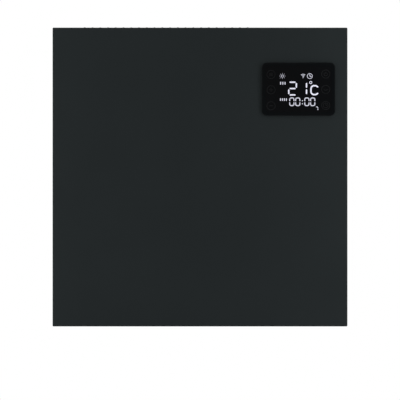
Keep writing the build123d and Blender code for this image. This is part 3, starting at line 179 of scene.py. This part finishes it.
BRUSHED = (1, 1, 14)
finishes = {
    "powder_coat": make_finish(
        "powder_coat", (0.0105, 0.0135, 0.0142), 0.5, specular=0.07, tone=0.04, spread=0.04,
        grain=900.0, relief=0.16, depth=0.00006, dust=0.05, scuffs=0.05,
    ),
    "zinc_steel": make_finish(
        "zinc_steel", (0.42, 0.43, 0.44), 0.38, metallic=1.0, tone=0.08, grain=300.0,
        relief=0.08, cells=160.0, scuffs=0.25,
    ),
    "spring_steel": make_finish(
        "spring_steel", (0.35, 0.35, 0.36), 0.3, metallic=1.0, grain=900.0, stretch=BRUSHED, relief=0.2,
    ),
    "black_screws": make_finish(
        "black_screws", (0.02, 0.02, 0.021), 0.35, metallic=0.3, grain=1200.0, scuffs=0.4,
    ),
    "element_aluminium": make_finish(
        "element_aluminium", (0.62, 0.62, 0.63), 0.34, metallic=1.0, tone=0.1, grain=700.0,
        stretch=BRUSHED, relief=0.25, scuffs=0.2,
    ),
    "brass_parts": make_finish(
        "brass_parts", (0.62, 0.48, 0.2), 0.28, metallic=1.0, grain=900.0, relief=0.15, scuffs=0.2,
    ),
    "white_ceramic": make_finish(
        "white_ceramic", (0.8, 0.78, 0.72), 0.7, tone=0.05, grain=1500.0, relief=0.3,
    ),
    "gloss_black": make_finish(
        "gloss_black", (0.0004, 0.0009, 0.0013), 0.14, specular=0.045, tone=0.2, spread=0.03,
        grain=60.0, relief=0.03, scuffs=0.03,
    ),
    "black_lens": make_finish(
        "black_lens", (0.0006, 0.0008, 0.0012), 0.07, specular=0.045, tone=0.2, spread=0.02,
        grain=40.0, relief=0.015, scuffs=0.02,
    ),
    "black_plastic": make_finish(
        "black_plastic", (0.012, 0.012, 0.013), 0.5, specular=0.4, grain=1600.0, relief=0.3, dust=0.08,
    ),
    "rocker_plastic": make_finish(
        "rocker_plastic", (0.015, 0.015, 0.016), 0.28, grain=1600.0, relief=0.12, scuffs=0.1,
    ),
    "brown_plastic": make_finish(
        "brown_plastic", (0.09, 0.04, 0.02), 0.4, tone=0.2, grain=900.0, relief=0.15,
    ),
    "green_plastic": make_finish(
        "green_plastic", (0.02, 0.2, 0.07), 0.42, grain=1300.0, relief=0.15,
    ),
    "white_plastic": make_finish(
        "white_plastic", (0.75, 0.75, 0.73), 0.42, tone=0.04, grain=1300.0, relief=0.12,
    ),
    "circuit_board": make_finish(
        "circuit_board", (0.02, 0.14, 0.06), 0.32, tone=0.18, grain=500.0, relief=0.3, coat=0.3,
    ),
    "black_rubber": make_finish(
        "black_rubber", (0.012, 0.012, 0.012), 0.78, specular=0.25, grain=1500.0, relief=0.4, dust=0.1,
    ),
    "black_foam": make_finish(
        "black_foam", (0.02, 0.02, 0.02), 0.92, specular=0.15, grain=2200.0, relief=0.8, depth=0.0002,
    ),
    "wire_red": make_finish("wire_red", (0.35, 0.03, 0.02), 0.5, grain=1400.0, relief=0.2),
    "wire_white": make_finish(
        "wire_white", (0.7, 0.7, 0.66), 0.75, grain=1800.0, relief=0.7, depth=0.0002,
    ),
    "wire_green": make_finish("wire_green", (0.1, 0.35, 0.05), 0.5, grain=1400.0, relief=0.2),
    "wire_grey": make_finish("wire_grey", (0.3, 0.3, 0.31), 0.5, grain=1400.0, relief=0.2),
}

slot_nodes = {
    "powder_coat": ["front_cover", "rear_casing"],
    "zinc_steel": [
        "wall_bracket", "air_duct", "left_pivot_ear", "right_pivot_ear",
        "left_element_bracket", "right_element_bracket",
    ],
    "spring_steel": [
        "left_snap_clip", "right_snap_clip", "clip_rivets", "pivot_pins", "keeper_studs",
        "casing_rivets", "heating_rod", "board_screws", "cutout_screws",
    ],
    "black_screws": ["casing_screws"],
    "element_aluminium": ["element_fins"],
    "brass_parts": ["element_terminals", "earth_stud", "earth_tag", "earth_nut", "switch_terminals"],
    "white_ceramic": ["element_insulators"],
    "gloss_black": ["display_bezel"],
    "black_lens": ["display_lens"],
    "black_plastic": [
        "outlet_grille", "inlet_grille", "display_rear_cover", "board_carrier", "power_relay",
        "mains_fuse", "transformer", "filter_capacitor", "cable_gland", "gland_nut",
        "room_sensor", "switch_housing",
    ],
    "rocker_plastic": ["rocker"],
    "brown_plastic": ["thermal_cutout"],
    "green_plastic": ["board_terminals"],
    "white_plastic": ["light_guide", "ribbon_header", "terminal_block", "sensor_clip"],
    "circuit_board": ["display_board", "radio_module", "power_board"],
    "black_rubber": ["bracket_bumpers", "lead_grommets"],
    "black_foam": ["display_gasket", "touch_pads"],
    "wire_red": ["switch_wiring"],
    "wire_white": ["element_wiring", "sensor_lead"],
    "wire_green": ["earth_lead"],
    "wire_grey": ["ribbon_cable"],
}


def paint(obj, material):
    obj.data.materials.clear()
    obj.data.materials.append(material)


for slot, names in slot_nodes.items():
    for name in names:
        paint(nodes[name], finishes[slot])


def glowing(name, colour, strength):
    """A finish of the display that gives off its own light."""
    material = make_finish(name, colour, 0.4, tone=0.03, grain=1500.0)
    shader = material.node_tree.nodes["Principled BSDF"]
    shader.inputs["Emission Color"].default_value = GLOW_COLOUR
    shader.inputs["Emission Strength"].default_value = strength
    return material


# What the display lights up, the dark prints on its keys (a finish that also paints the shade of the screws'
# cross recesses), and the rocker's white marks
lit = glowing("display_light", (0.28, 0.28, 0.32), 0.66)
dimmed = glowing("display_light_dim", (0.2, 0.2, 0.23), 0.5)
print_and_recess_shade = make_finish(
    "print_and_recess_shade", (0.0062, 0.0066, 0.0072), 0.35, specular=0.06, tone=0.15, grain=1500.0,
)
mark_white = make_finish("mark_white", (0.6, 0.6, 0.58), 0.45, tone=0.06, grain=1500.0)


# Flat signs
def capsule(start, end, width):
    """The outline of a straight stroke with round ends."""
    start, end = Vector(start), Vector(end)
    along = math.atan2(end.y - start.y, end.x - start.x)
    points = []
    for centre, turn in ((end, -math.pi / 2), (start, math.pi / 2)):
        for step in range(CAPSULE_STEPS + 1):
            angle = along + turn + math.pi * step / CAPSULE_STEPS
            points.append(centre + Vector((math.cos(angle), math.sin(angle))) * width / 2)
    return points


def bevelled(start, end, width):
    """The outline of a display segment, with pointed ends."""
    start, end = Vector(start), Vector(end)
    along = (end - start).normalized() * width / 2
    side = Vector((-along.y, along.x))
    return [
        start, start + along - side, end - along - side,
        end, end - along + side, start + along + side,
    ]


def disc(centre, radius):
    """The outline of a filled circle."""
    angles = [2 * math.pi * i / DISC_POINTS for i in range(DISC_POINTS)]
    return [Vector(centre) + Vector((math.cos(angle), math.sin(angle))) * radius for angle in angles]


def arc_band(centre, radius, width, start, end):
    """Four-sided pieces along an arc from angle start to end, in degrees."""
    start, end = math.radians(start), math.radians(end)
    count = max(2, math.ceil(abs(end - start) / ARC_STEP))
    rim = []
    for i in range(count + 1):
        angle = start + (end - start) * i / count
        ray = Vector((math.cos(angle), math.sin(angle)))
        rim.append((Vector(centre) + ray * (radius - width / 2), Vector(centre) + ray * (radius + width / 2)))
    return [[a[0], a[1], b[1], b[0]] for a, b in zip(rim, rim[1:])]


def turned(outlines, centre, degrees):
    """Outlines turned about a point."""
    angle, centre = math.radians(degrees), Vector(centre)
    spin = Matrix(((math.cos(angle), -math.sin(angle)), (math.sin(angle), math.cos(angle))))
    return [[centre + spin @ (Vector(point) - centre) for point in outline] for outline in outlines]


def flat_piece(name, outlines, material, body="heater", place=None, lift=SIGN_LIFT):
    """Thin plates with these outlines, in millimetres of X and Z, just in front of the lens.

    place turns an outline's point and a height above the surface into a point of the shared frame.
    """
    if place is None:
        def place(point, height):
            return Vector((point.x + SIGN_SHIFT_X, LENS_FACE_Y - height, point.y + SIGN_SHIFT_Z))
    mesh = bmesh.new()
    for outline in outlines:
        outline = [Vector(point) for point in outline]
        front = [mesh.verts.new(place(point, lift) * MM) for point in outline]
        back = [mesh.verts.new(place(point, lift - SIGN_THICKNESS) * MM) for point in outline]
        mesh.faces.new(front)
        mesh.faces.new(list(reversed(back)))
        for i in range(len(outline)):
            j = (i + 1) % len(outline)
            mesh.faces.new((front[i], back[i], back[j], front[j]))
    bmesh.ops.remove_doubles(mesh, verts=mesh.verts, dist=1e-7)
    bmesh.ops.recalc_face_normals(mesh, faces=mesh.faces)
    data = bpy.data.meshes.new(name)
    mesh.to_mesh(data)
    mesh.free()
    piece = bpy.data.objects.new(name, data)
    bpy.context.scene.collection.objects.link(piece)
    paint(piece, material)
    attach(piece, body)


def digit(left, bottom, width, height, stroke, segments, gap):
    """Seven-segment strokes: a top, b and c right, d bottom, e and f left, g middle.

    gap is how far a stroke stops short of the next one's corner.
    """
    right, top, middle = left + width, bottom + height, bottom + height / 2
    half = stroke / 2
    x0, x1 = left + half, right - half
    z0, z1 = bottom + half, top - half
    ends = {
        "a": ((x0 + gap, z1), (x1 - gap, z1)),
        "b": ((x1, z1 - gap), (x1, middle + gap)),
        "c": ((x1, middle - gap), (x1, z0 + gap)),
        "d": ((x0 + gap, z0), (x1 - gap, z0)),
        "e": ((x0, middle - gap), (x0, z0 + gap)),
        "f": ((x0, z1 - gap), (x0, middle + gap)),
        "g": ((x0 + gap, middle), (x1 - gap, middle)),
    }
    return [bevelled(*ends[segment], stroke) for segment in segments]


# Temperature: two digits, a degree ring and a round-cornered C
DIGIT_BOTTOM, DIGIT_WIDTH, DIGIT_HEIGHT, DIGIT_STROKE, DIGIT_GAP = 122.1, 13.3, 21.0, 2.05, 0.9
DEGREE_CENTRE, DEGREE_RADIUS, DEGREE_STROKE = (165.4, 141.6), 1.75, 0.9
reading = []
for left, segments in ((131.7, "abged"), (146.9, "bc")):
    reading += digit(left, DIGIT_BOTTOM, DIGIT_WIDTH, DIGIT_HEIGHT, DIGIT_STROKE, segments, DIGIT_GAP)
reading += arc_band(DEGREE_CENTRE, DEGREE_RADIUS, DEGREE_STROKE, 0, 360)
C_LEFT, C_RIGHT, C_TOP, C_BOTTOM, C_TURN, C_STROKE = 165.8, 176.6, 136.9, 123.6, 4.6, 2.15
reading += arc_band((C_LEFT + C_TURN, C_TOP - C_TURN), C_TURN, C_STROKE, 90, 180)
reading += arc_band((C_LEFT + C_TURN, C_BOTTOM + C_TURN), C_TURN, C_STROKE, 180, 270)
reading += arc_band((C_RIGHT - C_TURN, C_TOP - C_TURN), C_TURN, C_STROKE, 28, 90)
reading += arc_band((C_RIGHT - C_TURN, C_BOTTOM + C_TURN), C_TURN, C_STROKE, 270, 332)
reading.append([
    (C_LEFT - C_STROKE / 2, C_BOTTOM + C_TURN), (C_LEFT + C_STROKE / 2, C_BOTTOM + C_TURN),
    (C_LEFT + C_STROKE / 2, C_TOP - C_TURN), (C_LEFT - C_STROKE / 2, C_TOP - C_TURN),
])
for level in (C_TOP, C_BOTTOM):
    reading.append([
        (C_LEFT + C_TURN, level - C_STROKE / 2), (C_RIGHT - C_TURN, level - C_STROKE / 2),
        (C_RIGHT - C_TURN, level + C_STROKE / 2), (C_LEFT + C_TURN, level + C_STROKE / 2),
    ])
flat_piece("reading_signs", reading, lit)

# Clock: four rounded digits in separate strokes, and a colon
CLOCK_BOTTOM, CLOCK_HEIGHT, CLOCK_WIDTH, CLOCK_STROKE, CLOCK_TURN = 106.4, 13.0, 7.8, 1.5, 2.4
CLOCK_HALF_GAP = 1.0


def rounded_zero(left):
    """A nought of an upper and a lower arch with a gap between them."""
    half = CLOCK_STROKE / 2
    x0, x1 = left + half, left + CLOCK_WIDTH - half
    z0, z1 = CLOCK_BOTTOM + half, CLOCK_BOTTOM + CLOCK_HEIGHT - half
    middle = (z0 + z1) / 2
    strokes = []
    for level, inward, left_start, right_start in ((z1, -1, 90, 0), (z0, 1, 180, 270)):
        turn_z = level + inward * CLOCK_TURN
        for x, start in ((x0 + CLOCK_TURN, left_start), (x1 - CLOCK_TURN, right_start)):
            strokes += arc_band((x, turn_z), CLOCK_TURN, CLOCK_STROKE, start, start + 90)
        strokes.append([
            (x0 + CLOCK_TURN, level - half), (x1 - CLOCK_TURN, level - half),
            (x1 - CLOCK_TURN, level + half), (x0 + CLOCK_TURN, level + half),
        ])
        near, far = sorted((turn_z, middle - inward * CLOCK_HALF_GAP))
        for x in (x0, x1):
            strokes.append([(x - half, near), (x + half, near), (x + half, far), (x - half, far)])
    return strokes


clock = []
for left in (133.4, 142.2, 155.8, 164.5):
    clock += rounded_zero(left)
for height in (114.5, 110.0):
    clock.append(disc((153.1, height), 0.8))
flat_piece("clock_signs", clock, dimmed)

# Sun, signal fan, ringed clock hands, and plain bars beside the two rows of digits
SUN = (123.1, 151.3)
icons = arc_band(SUN, 1.7, 0.7, 0, 360)
for turn in range(0, 360, 45):
    icons += turned([capsule((SUN[0] + 3.3, SUN[1]), (SUN[0] + 4.1, SUN[1]), 0.5)], SUN, turn)
FAN = (154.1, 148.9)
for radius in (1.8, 3.4, 5.0):
    icons += arc_band(FAN, radius, 0.8, 52, 128)
icons.append(disc(FAN, 0.6))
RINGED = (164.1, 151.2)
icons += arc_band(RINGED, 3.8, 0.8, 0, 360)
icons.append(capsule(RINGED, (RINGED[0], RINGED[1] + 2.4), 1.1))
icons.append(capsule(RINGED, (RINGED[0] + 1.9, RINGED[1] - 0.9), 1.1))
for x in (120.6, 123.9, 127.2):
    icons.append(capsule((x, 139.2), (x, 141.9), 1.6))
for x in (120.4, 123.3, 126.2, 129.1):
    icons.append(capsule((x, 115.0), (x, 117.4), 1.5))
icons += digit(172.5, 99.8, 4.2, 6.0, 1.2, "abc", 0.1)
flat_piece("icon_signs", icons, dimmed)

# Six touch keys, printed faintly on the lens
KEY_LEFT, KEY_RIGHT = 106.3, 187.8
MENU, PLUS, MINUS = (KEY_LEFT, 153.6), (KEY_LEFT, 130.7), (KEY_LEFT, 106.9)
POWER, MOON, TIMER = (KEY_RIGHT, 154.2), (KEY_RIGHT, 131.3), (KEY_RIGHT, 107.4)
KEY_RING, KEY_STROKE = 6.1, 0.7
keys = []
for centre in (MENU, PLUS, MINUS, POWER, MOON, TIMER):
    keys += arc_band(centre, KEY_RING, KEY_STROKE, 0, 360)


def key_stroke(centre, start, end):
    """A straight stroke on a key, with its ends measured from the key's centre."""
    x, z = centre
    keys.append(capsule((x + start[0], z + start[1]), (x + end[0], z + end[1]), KEY_STROKE))


for offset in (-1.7, 0.0, 1.7):
    key_stroke(MENU, (-2.4, offset), (2.4, offset))
key_stroke(PLUS, (-2.7, 0.0), (2.7, 0.0))
key_stroke(PLUS, (0.0, -2.7), (0.0, -0.5))
key_stroke(PLUS, (0.0, 0.5), (0.0, 2.7))
key_stroke(MINUS, (-2.7, 0.0), (2.7, 0.0))
keys += arc_band((KEY_RIGHT, POWER[1] - 0.2), 2.5, KEY_STROKE, 120, 420)
key_stroke(POWER, (0.0, 0.4), (0.0, 3.1))
keys += arc_band((KEY_RIGHT, MOON[1] + 1.7), 3.0, KEY_STROKE, 200, 340)
key_stroke(TIMER, (0.0, 0.0), (0.0, 2.5))
key_stroke(TIMER, (0.0, 0.0), (2.0, 0.0))
keys += arc_band(TIMER, 3.6, KEY_STROKE, 0, 360)
flat_piece("key_prints", keys, print_and_recess_shade)


# Rocker marks
ROCKER_PIVOT = Vector((204.5, -33.0, -110.0))
ROCKER_TILT = math.radians(10.0)
DISH_CENTRE, DISH_RADIUS = 30.7, 27.1


def on_rocker(point, height):
    """A point of the rocker's dished face: point.x runs along Y, point.y up the face."""
    reach = DISH_CENTRE - math.sqrt(DISH_RADIUS**2 - point.y**2) + height
    return Vector((
        ROCKER_PIVOT.x + reach * math.cos(ROCKER_TILT) + point.y * math.sin(ROCKER_TILT),
        ROCKER_PIVOT.y + point.x,
        ROCKER_PIVOT.z - reach * math.sin(ROCKER_TILT) + point.y * math.cos(ROCKER_TILT),
    ))


rocker_marks = arc_band((0.0, -5.0), 1.5, 0.55, 0, 360)
rocker_marks.append([(-0.35, 3.5), (0.35, 3.5), (0.35, 6.7), (-0.35, 6.7)])
flat_piece(
    "rocker_marks", rocker_marks, mark_white,
    body="rocker", place=on_rocker, lift=MARK_LIFT,
)


# Grilles
GRILLE_X, GRILLE_Y = -50.5, -70.0
GRILLE_LENGTH, GRILLE_DEPTH, GRILLE_RAIL, GRILLE_RIM = 268.2, 36.0, 3.0, 4.0
SHEET, RIM_THICKNESS = 1.0, 1.6
BLADE_PITCH, BLADE_COUNT = 11.6, 22
BLADE_TOP, BLADE_TIP, BLADE_DEPTH = 4.6, 2.0, 12.0
BLADE_ARC_STEPS = 8
OUTLET_Z, INLET_Z = 223.0, -223.0
OUTLET_CROWN, INLET_CROWN = 0.88, 0.28
MOULDED_EDGE = 0.2


def add_prism(mesh, outline, ends):
    """A closed prism: ends gives for each outline point its place at either end."""
    rings = [[mesh.verts.new(end(point) * MM) for point in outline] for end in ends]
    mesh.faces.new(rings[0])
    mesh.faces.new(list(reversed(rings[1])))
    for i in range(len(outline)):
        j = (i + 1) % len(outline)
        mesh.faces.new((rings[0][i], rings[1][i], rings[1][j], rings[0][j]))


def add_frame(mesh, margin, near_z, far_z):
    """A rectangular frame round the grille's opening, this much wider than the grille."""
    corners = ((-1, -1), (1, -1), (1, 1), (-1, 1))
    rings = []
    for grow in (margin, -GRILLE_RAIL):
        for z in (near_z, far_z):
            rings.append([
                mesh.verts.new(Vector((
                    GRILLE_X + sx * (GRILLE_LENGTH / 2 + grow),
                    GRILLE_Y + sy * (GRILLE_DEPTH / 2 + grow),
                    z,
                )) * MM)
                for sx, sy in corners
            ])
    outer_near, outer_far, inner_near, inner_far = rings
    for first, second in (
        (outer_near, outer_far), (outer_far, inner_far), (inner_far, inner_near), (inner_near, outer_near),
    ):
        for i in range(4):
            j = (i + 1) % 4
            mesh.faces.new((first[i], first[j], second[j], second[i]))


def moulded_grille(name, node, outer_z, up, crown):
    """A grille with its rim inside the sheet, two rails and a row of tapered, crowned blades."""
    blade = [Vector((-BLADE_TIP / 2, -BLADE_DEPTH)), Vector((BLADE_TIP / 2, -BLADE_DEPTH))]
    for step in range(BLADE_ARC_STEPS + 1):
        across = 1 - 2 * step / BLADE_ARC_STEPS
        blade.append(Vector((across * BLADE_TOP / 2, crown * (1 - across**2))))
    half_slot = GRILLE_DEPTH / 2 - GRILLE_RAIL
    mesh = bmesh.new()
    for number in range(BLADE_COUNT):
        x = GRILLE_X + (number - (BLADE_COUNT - 1) / 2) * BLADE_PITCH
        add_prism(mesh, blade, [
            lambda point, x=x, y=y: Vector((x + point.x, y, outer_z + up * point.y))
            for y in (GRILLE_Y - half_slot, GRILLE_Y + half_slot)
        ])
    add_frame(mesh, GRILLE_RIM, outer_z - up * SHEET, outer_z - up * (SHEET + RIM_THICKNESS))
    add_frame(mesh, 0.0, outer_z, outer_z - up * SHEET)
    bmesh.ops.recalc_face_normals(mesh, faces=mesh.faces)
    data = bpy.data.meshes.new(name)
    mesh.to_mesh(data)
    mesh.free()
    piece = bpy.data.objects.new(name, data)
    bpy.context.scene.collection.objects.link(piece)
    bevel = piece.modifiers.new("moulded_edges", "BEVEL")
    bevel.width = MOULDED_EDGE * MM
    bevel.segments = 2
    bevel.limit_method = "ANGLE"
    paint(piece, finishes["black_plastic"])
    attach(piece, "heater")
    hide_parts(node)


moulded_grille("outlet_moulding", "outlet_grille", OUTLET_Z, 1, OUTLET_CROWN)
moulded_grille("inlet_moulding", "inlet_grille", INLET_Z, -1, INLET_CROWN)


# Screw heads: dark crosses painted on them as the shade of their cross recesses
def islands(node):
    """The lowest and highest corner of each separate solid of a CAD node."""
    mesh = bmesh.new()
    mesh.from_mesh(nodes[node].data)
    bmesh.ops.remove_doubles(mesh, verts=mesh.verts, dist=1e-6)
    seen, boxes = set(), []
    for start in mesh.verts:
        if start in seen:
            continue
        seen.add(start)
        group, queue = [], [start]
        while queue:
            vertex = queue.pop()
            group.append(vertex.co.copy())
            for edge in vertex.link_edges:
                other = edge.other_vert(vertex)
                if other not in seen:
                    seen.add(other)
                    queue.append(other)
        low = Vector([min(co[axis] for co in group) for axis in range(3)])
        high = Vector([max(co[axis] for co in group) for axis in range(3)])
        boxes.append((low, high))
    mesh.free()
    return sorted(boxes, key=lambda box: tuple(round(value, 5) for value in box[0]))


RECESS_SHADE_REACH, RECESS_SHADE_WIDTH = 1.3, 0.7
screw_boxes = islands("casing_screws")
head_top = max(high.y for low, high in screw_boxes) / MM
recess_shade_crosses = []
for low, high in screw_boxes:
    centre = ((low.x + high.x) / 2 / MM, (low.z + high.z) / 2 / MM)
    for dx, dz in ((RECESS_SHADE_REACH, 0.0), (0.0, RECESS_SHADE_REACH)):
        recess_shade_crosses.append(capsule(
            (centre[0] - dx, centre[1] - dz), (centre[0] + dx, centre[1] + dz), RECESS_SHADE_WIDTH,
        ))
# Flat dark crosses on the heads stand in for the cross recesses: painted shade, not hollows
flat_piece(
    "painted_recess_shade", recess_shade_crosses, print_and_recess_shade,
    place=lambda point, height: Vector((point.x, head_top + height, point.y)), lift=MARK_LIFT,
)


# Stage, light and camera
WORLD_LIGHT = 0.2
FLOOR_GLOW = 0.4
FLOOR_Z, STAGE_REACH = -0.75, 4.0
HEATER_MIDDLE = Vector((0.0, -0.05, 0.0))


def stage_plane(name, corners, material):
    data = bpy.data.meshes.new(name)
    data.from_pydata(corners, [], [(0, 1, 2, 3)])
    data.materials.append(material)
    plane = bpy.data.objects.new(name, data)
    bpy.context.scene.collection.objects.link(plane)


def seen_directly(tree):
    """1 on a ray from the camera, a gloss or a clear piece, and 0 on a ray that lights things."""
    path = add_node(tree, "ShaderNodeLightPath")
    value = path.outputs["Is Camera Ray"]
    for ray in ("Is Glossy Ray", "Is Transmission Ray"):
        larger = add_node(tree, "ShaderNodeMath", operation="MAXIMUM")
        tree.links.new(value, larger.inputs[0])
        tree.links.new(path.outputs[ray], larger.inputs[1])
        value = larger.outputs[0]
    return value


pale = bpy.data.materials.new("pale_stage")
pale.use_nodes = True
pale_shader = pale.node_tree.nodes["Principled BSDF"]
pale_shader.inputs["Base Color"].default_value = (0.86, 0.86, 0.86, 1.0)
pale_shader.inputs["Roughness"].default_value = 0.9
pale_shader.inputs["Emission Color"].default_value = (1.0, 1.0, 1.0, 1.0)
own_glow = remap(pale.node_tree, seen_directly(pale.node_tree), 0.0, 1.0, 0.0, FLOOR_GLOW)
pale.node_tree.links.new(own_glow, pale_shader.inputs["Emission Strength"])
underneath = add_node(pale.node_tree, "ShaderNodeNewGeometry")
clear = add_node(pale.node_tree, "ShaderNodeBsdfTransparent")
one_sided = add_node(pale.node_tree, "ShaderNodeMixShader")
pale.node_tree.links.new(underneath.outputs["Backfacing"], one_sided.inputs["Fac"])
pale.node_tree.links.new(pale_shader.outputs["BSDF"], one_sided.inputs[1])
pale.node_tree.links.new(clear.outputs["BSDF"], one_sided.inputs[2])
surface = pale.node_tree.nodes["Material Output"].inputs["Surface"]
pale.node_tree.links.new(one_sided.outputs["Shader"], surface)
stage_plane("floor", [
    (-STAGE_REACH, -STAGE_REACH, FLOOR_Z), (STAGE_REACH, -STAGE_REACH, FLOOR_Z),
    (STAGE_REACH, STAGE_REACH, FLOOR_Z), (-STAGE_REACH, STAGE_REACH, FLOOR_Z),
], pale)

# White where the camera, a gloss or a clear piece sees past the heater, and dimmer as light
world = bpy.data.worlds.new("studio")
world.use_nodes = True
tree = world.node_tree
background = tree.nodes["Background"]
background.inputs["Color"].default_value = (1.0, 1.0, 1.0, 1.0)
sky_strength = remap(tree, seen_directly(tree), 0.0, 1.0, WORLD_LIGHT, 1.0)
tree.links.new(sky_strength, background.inputs["Strength"])
bpy.context.scene.world = world


def softbox(name, place, size, energy):
    """A rectangular area light that faces the heater's middle."""
    light = bpy.data.lights.new(name, "AREA")
    light.shape = "RECTANGLE"
    light.size, light.size_y = size
    light.energy = energy
    lamp = bpy.data.objects.new(name, light)
    lamp.location = place
    lamp.rotation_euler = (HEATER_MIDDLE - Vector(place)).to_track_quat("-Z", "Y").to_euler()
    bpy.context.scene.collection.objects.link(lamp)


softbox("top_softbox", (0.0, -1.5, 2.3), (2.4, 1.2), 12.0)
softbox("left_softbox", (-0.62, -0.42, 0.0), (0.3, 1.4), 5.0)
softbox("right_softbox", (0.62, -0.42, 0.05), (0.3, 1.4), 6.2)
softbox("back_softbox", (0.8, 1.4, 1.6), (1.2, 1.2), 18.0)

CAMERA_DISTANCE = 6.0
FRAME_WIDTH = 0.5967
FRONT_Y = -0.098
CAMERA_Z = -0.0343
camera_data = bpy.data.cameras.new("camera")
camera_data.sensor_width = 36.0
camera_data.lens = camera_data.sensor_width * CAMERA_DISTANCE / FRAME_WIDTH
camera_data.clip_end = 50.0
camera = bpy.data.objects.new("camera", camera_data)
camera.location = (0.0, FRONT_Y - CAMERA_DISTANCE, CAMERA_Z)
camera.rotation_euler = (math.radians(90), 0.0, 0.0)
bpy.context.scene.collection.objects.link(camera)
bpy.context.scene.camera = camera
bpy.context.scene.view_settings.view_transform = "Standard"
